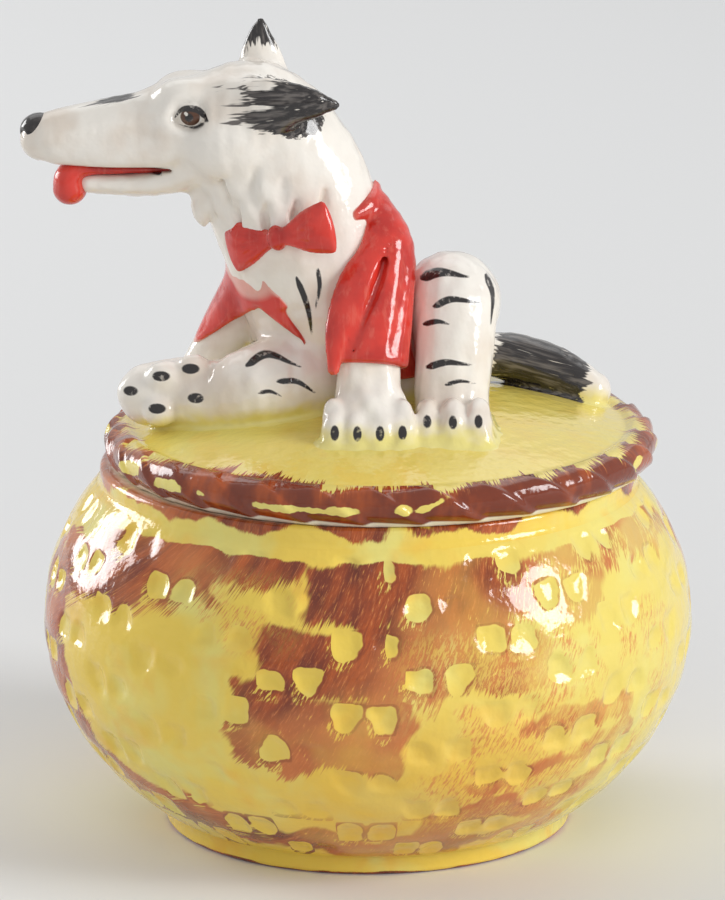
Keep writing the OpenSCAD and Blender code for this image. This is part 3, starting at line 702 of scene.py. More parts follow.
def make_lid():
    """The lid in one skin: flange, seat, rope edge and dome."""
    inner, half = FLANGE_R - FLANGE_T, ROPE_H / 2
    under_r = np.linspace(AXIS_R, inner, 14)
    roll = np.radians(np.linspace(-90, 90, ROLL_ROWS))
    top_r = np.concatenate([np.linspace(DISC_R - 0.5, DISC_R - 8, 10),
                            np.linspace(DISC_R - 10, AXIS_R, 22)])
    below = np.concatenate([
        np.stack([under_r, dome_z(under_r) - LID_T], -1),
        arc(inner + EDGE, EDGE - FLANGE_H, EDGE, 180, 270, 4),
        arc(FLANGE_R - EDGE, EDGE - FLANGE_H, EDGE, 270, 360, 4),
        [[FLANGE_R, -0.02], [DISC_R, 0]]])
    rope = np.stack([ROLL_R + (LID_R - ROLL_R) * np.cos(roll), half + half * np.sin(roll)], -1)
    profile = np.concatenate([below, rope, ROPE_SHOULDER, np.stack([top_r, dome_z(top_r)], -1)])
    points, turn, faces = turned(profile, ROPE_STRANDS * STRAND_COLUMNS)
    # Strands: waves that slant across the roll, each rising slowly to a crest and dropping off behind it
    first, last = len(below), len(below) + len(roll)
    strand = ROPE_STRANDS * turn / TURN + ROPE_SLANT * roll[:, None]
    share = strand - np.floor(strand)
    crest = share ** CREST_POWER * smooth(1.0, CREST_DROP, share)
    groove = ROPE_GROOVE * (1 - crest) * smooth(*CREST_START, np.degrees(roll))[:, None]
    points[first:last] = around(ROLL_R + (LID_R - ROLL_R - groove) * np.cos(roll)[:, None], turn,
                                half + (half - groove) * np.sin(roll)[:, None])
    # Distance down the profile from the top of the roll, less than zero on the dome
    way = np.concatenate([[0], np.cumsum(np.hypot(*np.diff(profile, axis=0).T))])
    down = way[last - 1] - way
    down[:first - 2] = -FAR
    down = down[:, None] + 0 * turn
    # Reach of the brown onto the dome, strand by strand
    strand = ROPE_STRANDS * turn / TURN + ROPE_SLANT * math.pi / 2
    number, share = np.floor(strand) % ROPE_STRANDS, strand - np.floor(strand)
    broad = smooth(BROAD_OVER, 0.0, np.abs(from_front(turn, BROAD_AT)))
    reach = TOOTH_H * share ** TOOTH_POWER - TOOTH_DIP + TOOTH_VARY * cell_noise(number, 0, 7) ** 3
    reach = reach + broad * (BROAD_REACH[0] + BROAD_REACH[1] * cell_noise(number, 0, 8))
    leaf = np.full(down.shape, NO_LEAF)
    for at, low, long, wide, tilt in LEAVES:
        u, v, a = LID_R * from_front(turn, at), down - low, math.radians(tilt)
        u, v = u * math.cos(a) - v * math.sin(a), u * math.sin(a) + v * math.cos(a)
        leaf = np.minimum(leaf, (np.hypot(u / long, v / wide) - 1) * wide)
    cream = (np.arange(len(profile)) < first)[:, None] + 0 * turn
    return add_mesh("lid_skin", points + [LID_X, 0, JAR_H], faces, "lid", lid_paint(),
                    ["lid_dome", "rope_edge"],
                    {"down": down, "brush": around(LID_R, turn, down), "reach": reach + 0 * down,
                     "leaf": leaf, "cream": cream})


def lower(a, b, blend):
    """The lesser of two distance fields, rounded over where they meet."""
    if blend == 0:
        return np.minimum(a, b)
    near = np.clip(blend - np.abs(a - b), 0, None)
    return np.minimum(a, b) - near * near / (4 * blend)


def along(points, steps):
    """A smooth path through rows of numbers, with extra rows between each two."""
    rows = np.asarray(points, float)
    ends = np.vstack([2 * rows[0] - rows[1], rows, 2 * rows[-1] - rows[-2]])
    path = []
    for i in range(len(rows) - 1):
        a, b, c, d = ends[i:i + 4]
        for t in np.arange(steps) / steps:
            path.append(b + t * (c - a) / 2 + t * t * (a - 2.5 * b + 2 * c - d / 2)
                        + t ** 3 * (1.5 * b - a / 2 - 1.5 * c + d / 2))
    return np.array(path + [rows[-1]])


def neighbour_mean(points, faces):
    """The mean of the points that share an edge with each point of a mesh of quads."""
    total, hits = np.zeros_like(points), np.zeros(len(points))
    for k in range(4):
        for other in (1, 3):
            np.add.at(total, faces[:, k], points[faces[:, (k + other) % 4]])
            np.add.at(hits, faces[:, k], 1)
    return total / np.maximum(hits, 1)[:, None]


def dot(place, way):
    """The product of three coordinates with a direction."""
    return place[0] * way[0] + place[1] * way[1] + place[2] * way[2]


def ellipsoid(shares, halves):
    """About how far places lie outside an ellipsoid, given as shares of its half sizes."""
    k0 = np.sqrt(sum(q * q for q in shares))
    k1 = np.sqrt(sum((q / h) ** 2 for q, h in zip(shares, halves))) + 1e-6
    return k0 * (k0 - 1) / k1


class Loft:
    """A rounded limb along stations [x, y, z, half size along ref, half size across it]."""

    def __init__(self, stations, ref, grow=0.0, steps=4):
        rows = along(stations, steps)
        rows[:, 3:] = np.maximum(rows[:, 3:], 0.3) + grow
        self.rows, self.ref = rows, np.asarray(ref, float)
        reach = rows[:, 3:].max(1)[:, None]
        self.low, self.high = (rows[:, :3] - reach).min(0), (rows[:, :3] + reach).max(0)

    def links(self):
        for a, b in zip(self.rows[:-1], self.rows[1:]):
            step = b[:3] - a[:3]
            length = np.linalg.norm(step)
            way = step / length
            side = self.ref - way * (self.ref @ way)
            side /= np.linalg.norm(side)
            yield a, b, length, way, side, np.cross(way, side)

    def distance(self, clay, box):
        out = np.full([s.stop - s.start for s in box], FAR, np.float32)
        for a, b, length, way, side, cross in self.links():
            reach = max(a[3:].max(), b[3:].max()) + clay.reach
            part = clay.box(np.minimum(a[:3], b[:3]) - reach, np.maximum(a[:3], b[:3]) + reach, box)
            if part is None:
                continue
            p = [g - o for g, o in zip(clay.places(part), a[:3])]
            t = np.clip(dot(p, way) / length, 0, 1)
            p = [q - t * length * w for q, w in zip(p, way)]
            ru, rv = a[3] + t * (b[3] - a[3]), a[4] + t * (b[4] - a[4])
            rw = np.minimum(ru, rv)
            skin = ellipsoid((dot(p, side) / ru, dot(p, cross) / rv, dot(p, way) / rw), (ru, rv, rw))
            here = tuple(slice(q.start - s.start, q.stop - s.start) for q, s in zip(part, box))
            out[here] = np.minimum(out[here], skin)
        return out


class Ball:
    """A rounded lump: an ellipsoid at a place, with three half sizes."""

    def __init__(self, place, half):
        self.place, self.half = np.asarray(place, float), np.asarray(half, float)
        self.low, self.high = self.place - self.half, self.place + self.half

    def distance(self, clay, box):
        shares = [(g - o) / h for g, o, h in zip(clay.places(box), self.place, self.half)]
        return ellipsoid(shares, self.half)


CORNERS = np.argwhere(np.ones((2, 2, 2)))


class Clay:
    """Clay: a field of distances on a grid, to which forms are added and from which they are cut."""

    def __init__(self, low, high, step, reach=3.0):
        self.low, self.step, self.reach = np.asarray(low, float), step, reach
        self.size = np.ceil((np.asarray(high) - self.low) / step).astype(int) + 1
        self.field = np.full(self.size, FAR, np.float32)

    def box(self, low, high, within=None):
        """Slices of the grid between two corners, inside another box, or None where it is empty."""
        a = np.floor((np.asarray(low) - self.low) / self.step).astype(int)
        b = np.ceil((np.asarray(high) - self.low) / self.step).astype(int) + 1
        within = within or tuple(slice(0, n) for n in self.size)
        out = tuple(slice(max(p, s.start), min(q, s.stop)) for p, q, s in zip(a, b, within))
        return None if any(s.stop <= s.start for s in out) else out

    def places(self, box):
        """Coordinates of the grid points in a box, as three arrays that broadcast against each other."""
        return [(self.low[i] + self.step * np.arange(s.start, s.stop)).astype(np.float32)
                .reshape([-1 if k == i else 1 for k in range(3)]) for i, s in enumerate(box)]

    def whole(self):
        return self.places(self.box(self.low, self.low + self.step * self.size))

    def add(self, form, blend=0.0):
        box = self.box(form.low - self.reach, form.high + self.reach)
        self.field[box] = lower(self.field[box], form.distance(self, box), blend)

    def cut(self, form, blend=0.0):
        box = self.box(form.low - self.reach, form.high + self.reach)
        self.field[box] = -lower(-self.field[box], form.distance(self, box), blend)

    def cut_field(self, field, blend):
        """Cuts away all that a distance field over the whole block has inside."""
        self.field = -lower(-self.field, field.astype(np.float32), blend)

    def surface(self, passes=3):
        """Points and quads of the skin where the field is zero, evened out by a few smoothing passes."""
        inside = self.field < 0
        n = self.size - 1
        part = [inside[i:i + n[0], j:j + n[1], k:k + n[2]] for i, j, k in CORNERS]
        count = np.sum(part, axis=0, dtype=np.uint8)
        cells = np.argwhere((count > 0) & (count < 8))
        value = np.stack([self.field[tuple((cells + c).T)] for c in CORNERS], 1)
        total, hits = np.zeros((len(cells), 3)), np.zeros(len(cells))
        for p, a in enumerate(CORNERS):
            for q, b in enumerate(CORNERS):
                if q > p and np.abs(a - b).sum() == 1:
                    fa, fb = value[:, p], value[:, q]
                    cross = (fa < 0) != (fb < 0)
                    t = np.where(cross, fa / np.where(cross, fa - fb, 1), 0)
                    total += cross[:, None] * (a + t[:, None] * (b - a))
                    hits += cross
        points = self.low + self.step * (cells + total / hits[:, None])
        number = np.full(n, -1, np.int64)
        number[tuple(cells.T)] = np.arange(len(cells))
        quads = []
        for axis in range(3):
            sides = [(axis + 1) % 3, (axis + 2) % 3]
            e, f, g = np.eye(3, dtype=int)[[axis] + sides]
            last = self.size - e
            start = inside[:last[0], :last[1], :last[2]]
            stop = inside[e[0]:, e[1]:, e[2]:]
            for ahead in (True, False):
                edges = np.argwhere((start & ~stop) if ahead else (~start & stop))
                edges = edges[((edges[:, sides] > 0) & (edges[:, sides] < n[sides])).all(1)]
                ring = [edges - f - g, edges - g, edges, edges - f]
                ring = [number[tuple(r.T)] for r in (ring if ahead else ring[::-1])]
                quads.append(np.stack(ring, 1))
        quads = np.concatenate(quads)
        quads = quads[(quads >= 0).all(1)]
        for _ in range(passes):
            points = 0.5 * points + 0.5 * neighbour_mean(points, quads)
        return points, quads

    def value_at(self, points):
        """The field at points anywhere in the block, interpolated."""
        p = (np.asarray(points) - self.low) / self.step
        i = np.clip(np.floor(p).astype(int), 0, self.size - 2)
        t = p - i
        out = 0
        for c in CORNERS:
            weight = np.prod(np.where(c, t, 1 - t), axis=1)
            out = out + weight * self.field[tuple((i + c).T)]
        return out


def dome_height(x, y):
    """Height of the lid's face in the figure's frame, whose origin is the crown of the dome."""
    return np.sqrt(DOME_BIG_R ** 2 - x * x - y * y) - DOME_BIG_R


# Figure: grid step and block of its clay, and stations of its limbs in the figure's frame
X, Y, Z = np.eye(3)
FACING = (-0.5, -0.866, 0)
HEAD_Y = -4.0
STEP = 0.54
FINE_STEP = 0.3
TONGUE_STEP = 0.35
FIGURE_BLOCK = ((-74, -38, -12), (50, 28, 79))


def head_row(x, z, along_ref, across):
    """A station on the head's middle plane."""
    return [x, HEAD_Y, z, along_ref, across]


def on_side(x, out, z, side):
    """A place on the head, some way out from its middle plane."""
    return (x, HEAD_Y + out * side, z)


BODY = [[-3, 5, -7, 15, 18], [-7, 3, 7, 15.5, 18], [-12, -1, 21, 14.5, 17], [-15.5, -3, 32, 13, 15],
        [-18, -4, 40, 11, 12]]
NECK = [head_row(-15.5, 28, 12.5, 10.5), head_row(-17.8, 40, 16.2, 12), head_row(-22, 50, 14.6, 12.2),
        head_row(-25.4, 57.2, 10.3, 10.6)]
SKULL = [head_row(-17, 55.5, 6.5, 8), head_row(-22, 56, 9, 11), head_row(-30, 56, 9.6, 11.6),
         head_row(-38.5, 56, 8.4, 9.2)]
MUZZLE = [head_row(-32, 53, 8, 9.5), head_row(-45.5, 53.8, 7.6, 7.8), head_row(-56, 53.4, 6.2, 6.6),
          head_row(-63.8, 52.4, 5.4, 5.8), head_row(-66.8, 52, 4.2, 4.6)]
JAW = [head_row(-33, 48.4, 6, 8.4), head_row(-45.5, 44, 3.2, 6.2), head_row(-57.2, 43.8, 2.5, 4.6)]
MOUTH = [head_row(-41, 46.9, 0.3, 6.6), head_row(-46, 46.6, 0.8, 7.2), head_row(-56, 46.6, 1, 6.6),
         head_row(-66, 46.8, 1.2, 5.5)]
# Lumps and hollows on both sides of the head, as (x, way out, z), half sizes and blend
BROW = ((-38.5, 4.8, 61.8), (4.6, 3.2, 2.8), 3)
CHEEK = ((-30, 8.4, 51.5), (7, 4.6, 6), 3)
EYE_SOCKET = ((-37.6, 9.3, 58.4), (3.4, 2.6, 2.8), 1.6)
EYEBALL = ((-36.8, 7.4, 58.4), (2.7, 2.5, 2.4), 0.6)
NOSTRIL = ((-70.4, 1.9, 53.2), (1.2, 0.9, 0.8), 0.8)
LIP = [(-42, 6.2, 50.4, 2.6, 2.4), (-54, 5, 49.6, 2.6, 2.4), (-63, 3.2, 49.4, 2.2, 2.2)]
LEFT_EAR = [[-30, -10.5, 59.5, 4.8, 3.2], [-22, -14.6, 61, 5.4, 2.6], [-14.5, -16.2, 61.4, 3.6, 1.9],
            [-8.8, -16, 61.2, 1, 0.8]]
RIGHT_EAR = [[-23, 3, 60, 5.4, 3.2], [-23.6, 4.2, 65.9, 4.6, 2.6], [-23.9, 4.8, 70.8, 2.6, 1.8],
             [-23.6, 5, 74, 0.9, 0.8]]
LEFT_FOREPAW = [[-2.5, -18.2, 15, 5.8, 5.2], [-2.5, -20.4, 6, 6.5, 5.5], [-2.4, -24.5, 0, 8, 5.6],
                [-2.4, -28, -4, 8.6, 5]]
RIGHT_FOREPAW = [[-28.5, 4, 15, 4.8, 5.2], [-34, 7, 5, 5, 5], [-38, 9.5, -2.4, 6.4, 5]]
LEFT_HIND_LEG = [[8, 12, 3, 12, 11], [13, 2, 16, 10.5, 10], [14.5, -7, 20, 9, 9],
                 [14.3, -13.5, 10, 7.8, 7.6], [14, -15.5, 4, 7.4, 7]]
RIGHT_HIND_LEG = [[-8, 1, 2, 10, 11], [-16, -8, 4.5, 9, 9.5], [-24, -11.5, 4, 8.2, 8.6],
                  [-33, -9.5, 0.5, 6.2, 7]]
LEFT_HIND_FOOT = [[14, -15.5, -1, 6, 7.4], [14, -21, -2, 6, 8.2], [14, -27, -4.5, 4.6, 8.2]]
RIGHT_HIND_FOOT = [[-31, -9, 1, 6, 6.8], [-38, -7.5, 1.6, 7, 6.6], [-46, -6.8, 1, 6.2, 6]]
TAIL = [[17, 13, 4.5, 3.8, 4.2], [26.4, 17, 3, 4.8, 5.6], [35.2, 17.5, 0, 4.8, 5.6],
        [43, 15, -3.5, 3.6, 4.4]]
# Limbs in the order of joining, with the direction of their first half size and their blend
LIMBS = [(LEFT_FOREPAW, X, 1.5), (RIGHT_FOREPAW, Y, 1.5), (LEFT_HIND_LEG, X, 2.5), (RIGHT_HIND_LEG, Z, 2.5),
         (LEFT_HIND_FOOT, Z, 2.0), (RIGHT_HIND_FOOT, Z, 2.0), (TAIL, Z, 2.5)]
LEFT_FORETOES = [(-2.4 + 4.4 * i, -31.2 + 0.5 * abs(i), -3.6) for i in (-1.5, -0.5, 0.5, 1.5)]
LEFT_HINDTOES = [(14 + 5 * i, -29.2 + 0.6 * abs(i), -4.2) for i in (-1, 0, 1)]
RIGHT_FORETOES = [(-41.4 + 0.6 * abs(i), 10 + 4.6 * i, -4.6) for i in (-1, 0, 1)]
RIGHT_HINDTOES = [(-37, -10, 6.6), (-42.8, -10.4, 5.2), (-48.6, -8.6, 1.8), (-43.6, -12, -1),
                  (-35.8, -13, 1.4)]
# Toes as their tips, the way back to the knuckle, radius, blend, and the way from the tip to the claw
TOES = [(LEFT_FORETOES, (0, 4.5, 6.5), 2.5, 0.7, (0, -1.2, 3)),
        (LEFT_HINDTOES, (0, 4.5, 6.5), 2.7, 0.7, (0, 0.4, 4.8)),
        (RIGHT_FORETOES, (5, 0, 4), 2.6, 0.9, (-1.2, 0, 3))]
LYING_TOE = (3.6, 3.2, 3.3)
LYING_TOE_BLEND = 0.8
# The fillet between figure and dome: blend, lift and width, and the figure's depth under the dome
FILLET = 2.2
FILLET_LIFT = 0.15
FILLET_W = 2.6
SUNK = 1.6
# Locks of fur down the neck, as the x and z of their roots and their length, and the tuft on the throat
RUFF_LOCKS = [(-33, 50.5, 9), (-27.5, 50, 10), (-22, 48.5, 8), (-30.5, 43.5, 6), (-25, 43.5, 6),
              (-19.5, 44, 6.5), (-14, 46, 8), (-11, 40, 7)]
TUFT = [[-34, HEAD_Y - 2, 43, 3, 3], [-35.4, HEAD_Y - 4, 38.5, 1.8, 1.8],
        [-34.6, HEAD_Y - 4.6, 35.5, 0.5, 0.5]]


def toe(tip, back, r):
    """A toe from its tip to its knuckle, with its length along the way back to the paw."""
    tip, back = np.asarray(tip, float), np.asarray(back, float)
    middle = tip + 0.45 * back + [0, 0, 0.4]
    knuckle = tip + back
    rows = [[*tip, r, r], [*middle, r * 1.08, r * 1.02], [*knuckle, r * 0.8, r * 0.8]]
    return Loft(rows, X + 0.01 * Z)


def neck_skin(x, z, side, sink=0.0):
    """The point of the neck's surface at x and z on one side, sunk by some mm."""
    rows = along(NECK, 8)
    middle, half_x, half_y = (np.interp(z, rows[:, 2], rows[:, k]) for k in (0, 3, 4))
    off = math.sqrt(max(0.05, 1 - ((x - middle) / half_x) ** 2))
    return [x, HEAD_Y + side * (half_y * off - sink), z]


def add_ruff(clay):
    """Locks of fur on the cheeks, neck and throat, each with a groove behind it."""
    for side in (-1, 1):
        for x, z, reach in RUFF_LOCKS:
            tip = (x + 0.25 * reach, z - reach)
            middle = (x - 0.06 * reach, z - 0.55 * reach)
            clay.add(Loft([[*neck_skin(x, z, side, 2.4), 2.5, 2.5],
                           [*neck_skin(*middle, side, 0.9), 2.1, 2.1],
                           [*neck_skin(*tip, side, -0.1), 0.8, 0.8]], X), 0.8)
            clay.cut(Loft([[*neck_skin(x + 3, z - 2, side, -0.5), 0.4, 0.4],
                           [*neck_skin(middle[0] + 3, middle[1] - 2, side, -0.4), 0.8, 0.8],
                           [*neck_skin(tip[0] + 2, tip[1] - 3, side, -0.2), 0.3, 0.3]], X), 1.2)
    clay.add(Loft(TUFT, X), 2)


def make_dog():
    """The dog's white body in one skin, joined to the dome by soft fillets."""
    clay = Clay(*FIGURE_BLOCK, STEP)
    clay.add(Loft(BODY, FACING))
    clay.add(Loft(NECK, X), 6)
    clay.add(Loft(SKULL, Z), 4)
    clay.add(Loft(MUZZLE, Z), 4)
    for side in (-1, 1):
        for place, half, blend in (BROW, CHEEK):
            clay.add(Ball(on_side(*place, side), half), blend)
        clay.add(Loft([[*on_side(*row[:3], side), *row[3:]] for row in LIP], Z), 2.5)
    clay.add(Loft(JAW, Z), 2)
    clay.cut(Loft(MOUTH, Z), 1.2)
    for side in (-1, 1):
        clay.cut(Ball(on_side(*EYE_SOCKET[0], side), EYE_SOCKET[1]), EYE_SOCKET[2])
        clay.add(Ball(on_side(*EYEBALL[0], side), EYEBALL[1]), EYEBALL[2])
    clay.add(Loft(LEFT_EAR, Z), 2.5)
    clay.add(Loft(RIGHT_EAR, X), 2.5)
    add_ruff(clay)
    for stations, ref, blend in LIMBS:
        clay.add(Loft(stations, ref), blend)
    for tips, back, r, blend, _ in TOES:
        for tip in tips:
            clay.add(toe(tip, back, r), blend)
    for tip in RIGHT_HINDTOES:
        clay.add(Ball(tip, LYING_TOE), LYING_TOE_BLEND)
    x, y, z = clay.whole()
    above = (z - dome_height(x, y)).astype(np.float32)
    figure = clay.field
    joined = lower(figure, above + FILLET_LIFT, FILLET)
    clay.field = np.maximum(np.maximum(joined, figure - FILLET_W), -(above + SUNK))
    points, faces = clay.surface()
    points = furrowed(points, faces)
    clay.field = figure
    add_figure("dog_skin", points, faces, dog_paint(),
               ["torso", "head", "left_ear", "right_ear", "left_forepaw", "right_forepaw", "left_hind_leg",
                "right_hind_leg", "left_hind_foot", "right_hind_foot", "tail"], dog_marks(points, faces))
    return clay


def to_points(faces, values, count):
    """For each of count points, the sum of the values of the quads around it."""
    total = np.zeros((count,) + values.shape[1:])
    for k in range(4):
        np.add.at(total, faces[:, k], values)
    return total


def normals(points, faces):
    """The outward direction at each point."""
    corner = points[faces]
    across = np.cross(corner[:, 2] - corner[:, 0], corner[:, 3] - corner[:, 1])
    out = to_points(faces, across, len(points))
    return out / (np.linalg.norm(out, axis=1)[:, None] + 1e-9)


# Furrows of the fur: depth, more of it on the paws, size across and along, and lumps of the modelling
FUR_DEPTH = 0.2
PAW_FUR = 0.3
FUR_SIZE = (2.4, 2.4, 11)
LUMP_DEPTH = 0.2
LUMP_SIZE = (7, 7, 7)
BEND_PASSES = 4


def furrowed(points, faces):
    """The skin with furrows of fur down the limbs and a hand-modelled unevenness, but a smooth face."""
    x, y, z = points.T
    face = smooth(-30, -36, x) * smooth(44, 47, z)
    paws = smooth(14, 10, z) * smooth(-16, -20, y)
    fur = (FUR_DEPTH + PAW_FUR * paws) * (1 - face) * smooth(-6, 0, z)
    fine = np.array([noise.noise(Vector(p)) for p in points / FUR_SIZE])
    soft = np.array([noise.noise(Vector(p)) for p in points / LUMP_SIZE])
    return points + normals(points, faces) * (fur * fine + LUMP_DEPTH * soft * (1 - face))[:, None]


def bend(points, faces):
    """How the skin curves at each point: above zero in hollows, below zero on edges, in 1/mm."""
    curve = ((neighbour_mean(points, faces) - points) * normals(points, faces)).sum(1) / STEP ** 2
    hits = to_points(faces, np.ones(len(faces)), len(points))
    for _ in range(BEND_PASSES):
        curve = to_points(faces, curve[faces].mean(1), len(points)) / hits
    return curve


def stroke_distance(u, v, points, width):
    """Signed distance to a painted stroke in a plane, tapered to both ends."""
    path = along(np.asarray(points, float), 6)
    best = np.full(u.shape, FAR)
    for i, (a, b) in enumerate(zip(path[:-1], path[1:])):
        e = b - a
        t = np.clip(((u - a[0]) * e[0] + (v - a[1]) * e[1]) / (e @ e), 0, 1)
        share = (i + t) / (len(path) - 1)
        half = width / 2 * np.clip(np.minimum(0.45 + 4 * share, 1.15 - share ** 2), 0.12, 1)
        best = np.minimum(best, np.hypot(u - a[0] - t * e[0], v - a[1] - t * e[1]) - half)
    return best


def axis_share(points, start, stop):
    """How far along a line each point lies, from 0 to 1, and its distance from the line."""
    start, stop = np.asarray(start, float), np.asarray(stop, float)
    way = stop - start
    t = (points - start) @ way / (way @ way)
    return t, np.linalg.norm(points - start - t[:, None] * way, axis=1)


def turned_to(points, start, stop):
    """Coordinates whose first axis runs from start to stop."""
    way = np.subtract(stop, start) / np.linalg.norm(np.subtract(stop, start))
    side = np.cross(way, Z + 0.1 * X)
    side /= np.linalg.norm(side)
    return points @ np.stack([way, side, np.cross(way, side)], 1)


# Painted fur ticks as a path of x and z, seen from the front, and a width
CHEST_TICKS = [([(-16.5, 27), (-14.4, 21), (-13.4, 14)], 1.2), ([(-12.4, 29), (-12, 25), (-13, 20)], 0.9)]
KNEE_TICKS = [([(8, 25.4), (12, 27), (17.4, 26.2)], 1.5), ([(10.4, 21), (14, 22.6), (19.6, 21.6)], 1.3),
              ([(20.6, 26), (22, 22.4), (21.6, 17)], 1.0), ([(8.4, 17.4), (11, 18.4), (13.6, 18)], 1.0)]
SHIN_TICKS = [([(9, 9.6), (13, 11), (18, 10.2)], 1.3), ([(12.6, 6.6), (15.4, 7.4), (18.6, 6.6)], 0.8)]
THIGH_TICKS = [([(-26.4, 9.4), (-22, 11.4), (-15.6, 9)], 1.3),
               ([(-20.4, 6.8), (-16.4, 6.4), (-12.6, 3.6)], 1.1),
               ([(-24, 4.6), (-21.6, 4.8), (-19.4, 3.8)], 0.8)]
TICKS_IN_FRONT_OF = -2
# Claws and pads as half sizes, and the way from a lying toe's middle to its pad
CLAW = (0.85, 1.5, 1.6)
CLAW_R = 0.9
PAD = (1.8, 1.4, 1.0)
PAD_WAY = (-0.5, -2.6, 1.0)
# Eyes as x, z and radius of their spots, and lines around them as a path of x and z and a width
PUPIL = (-37.4, 58.2, 0.85)
IRIS = (-37.2, 58.2, 1.75)
IRIS_SQUASH = 0.9
GLINT = (-38.0, 58.9, 0.42)
EYE_LINES = [([(-33.8, 57.8), (-35.8, 59.7), (-38.6, 59.7), (-40.4, 57.6)], 1.2),
             ([(-34.4, 57.2), (-36.6, 56.1), (-39.4, 56.6)], 0.5)]
EYES_OUT = 4
# The dark slit of the mouth: height, half width, front of which x, and half its length across
SLIT_Z = 46.7
SLIT_HALF = 0.75
SLIT_X = -43
SLIT_OUT = 9
# Dry-brushed areas: ends of a line, reach about it, and shares of its length where they start and stop
DRY_AREAS = [(LEFT_EAR[0][:3], LEFT_EAR[-1][:3], 7, (-0.2, 0.6), (1.3, 1.2)),
             (RIGHT_EAR[0][:3], RIGHT_EAR[-1][:3], 5, (0.45, 0.85), (1.3, 1.2)),
             (TAIL[0][:3], TAIL[-1][:3], 9, (0.1, 0.3), (1.0, 0.85)),
             ((-61, HEAD_Y, 59), (-46, HEAD_Y, 62), 3.6, (0.0, 0.6), (1.1, 0.6))]


def dog_marks(points, faces):
    """Paint fields of the dog: ink, dry-brushed areas, eyes, curvature, and height above the lid."""
    x, y, z = points.T
    ink, iris, glint = (np.full(len(points), FAR) for _ in range(3))
    for path, width in CHEST_TICKS + KNEE_TICKS + SHIN_TICKS + THIGH_TICKS:
        ink = np.minimum(ink, np.where(y < TICKS_IN_FRONT_OF, stroke_distance(x, z, path, width), FAR))
    for tips, _, _, _, way in TOES:
        for tip in tips:
            claw = np.linalg.norm((points - np.add(tip, way)) / CLAW, axis=1)
            ink = np.minimum(ink, claw * CLAW_R - CLAW_R)
    for tip in RIGHT_HINDTOES:
        ink = np.minimum(ink, np.linalg.norm((points - np.add(tip, PAD_WAY)) / PAD, axis=1) - 1)
    for side in (-1, 1):
        near = np.where(side * (y - HEAD_Y) > EYES_OUT, 0, FAR)
        ink = np.minimum(ink, np.hypot(x - PUPIL[0], z - PUPIL[1]) - PUPIL[2] + near)
        iris = np.minimum(iris, np.hypot((x - IRIS[0]) * IRIS_SQUASH, z - IRIS[1]) - IRIS[2] + near)
        glint = np.minimum(glint, np.hypot(x - GLINT[0], z - GLINT[1]) - GLINT[2] + near)
        for path, width in EYE_LINES:
            ink = np.minimum(ink, stroke_distance(x, z, path, width) + near)
    slit = np.maximum(np.abs(z - SLIT_Z) - SLIT_HALF, x - SLIT_X)
    ink = np.minimum(ink, np.where(np.abs(y - HEAD_Y) < SLIT_OUT, slit, FAR))
    dry, brush = np.zeros(len(points)), np.zeros_like(points)
    for start, stop, reach, begin, end in DRY_AREAS:
        t, off = axis_share(points, start, stop)
        amount = smooth(*begin, t) * smooth(*end, t) * smooth(reach, 0.75 * reach, off)
        brush = np.where((amount > 0)[:, None], turned_to(points, start, stop), brush)
        dry = np.maximum(dry, amount)
    return {"height": z - dome_height(x, y), "ink": ink, "iris": iris, "glint": glint, "dry": dry,
            "brush": brush, "curve": bend(points, faces)}


def add_figure(name, points, faces, material, nodes, fields):
    """A piece of the figure, moved from the crown of the dome to its place on the jar."""
    return add_mesh(name, points + [LID_X, 0, JAR_H + CROWN_Z], faces, "lid", material, nodes, fields)


def red_piece(name, points, faces, nodes, dog=None):
    """A piece in red enamel, with its paint fields."""
    seam = dog.value_at(points) if dog else np.full(len(points), FAR)
    fields = {"curve": bend(points, faces), "seam": seam}
    return add_figure(name, points, faces, red_paint(), nodes, fields)


def polygon_distance(u, v, corners):
    """Signed distance to a flat polygon, less than zero inside it."""
    shape = np.broadcast(u, v).shape
    best, inside = np.full(shape, np.inf), np.zeros(shape, bool)
    for (a, b), (c, d) in zip(corners, corners[1:] + corners[:1]):
        eu, ev = c - a, d - b
        t = np.clip(((u - a) * eu + (v - b) * ev) / (eu * eu + ev * ev), 0, 1)
        best = np.minimum(best, (u - a - t * eu) ** 2 + (v - b - t * ev) ** 2)
        inside ^= ((b > v) != (d > v)) & (u < a + (v - b) * eu / (ev if ev else 1e-9))
    return np.where(inside, -1, 1) * np.sqrt(best)


# Coat: block of its clay, thickness, lower and upper edge, and the direction that its front is open to
COAT_BLOCK = ((-47, -32, 0), (20, 26, 50))
COAT_T = 1.3
COAT_HEM = 5.0
COAT_TOP = 44
COAT_FACING = math.radians(30)
CUFF_DEPTH = 3
LEFT_SLEEVE = [[-1.4, -5, 38.4, 3.6, 4.4], [0.7, -10, 31, 6.0, 6.4], [-1.6, -15, 20, 8, 7.2],
               [-2.2, -19, 9.5, 7.6, 7.6]]
RIGHT_SLEEVE = [[-20, -5, 33, 6.4, 6.8], [-24.6, -1, 22, 6.6, 6.6], [-29.3, 4, 12.5, 6, 6.2],
                [-32.5, 6.5, 5.5, 5.6, 6]]
LAPEL = [[0, -13, 35, 1.4, 1.1], [-4.6, -18, 27.5, 3.5, 1.4], [-8.3, -21.8, 18.5, 2.7, 1.4],
         [-9.3, -24.1, 10, 1.3, 1]]
COLLAR = [[-1, -3.4, 42.6, 1.2, 1], [-1.8, -9.2, 39.8, 2.4, 1.7], [-5.2, -13, 38.6, 1.3, 1.2]]
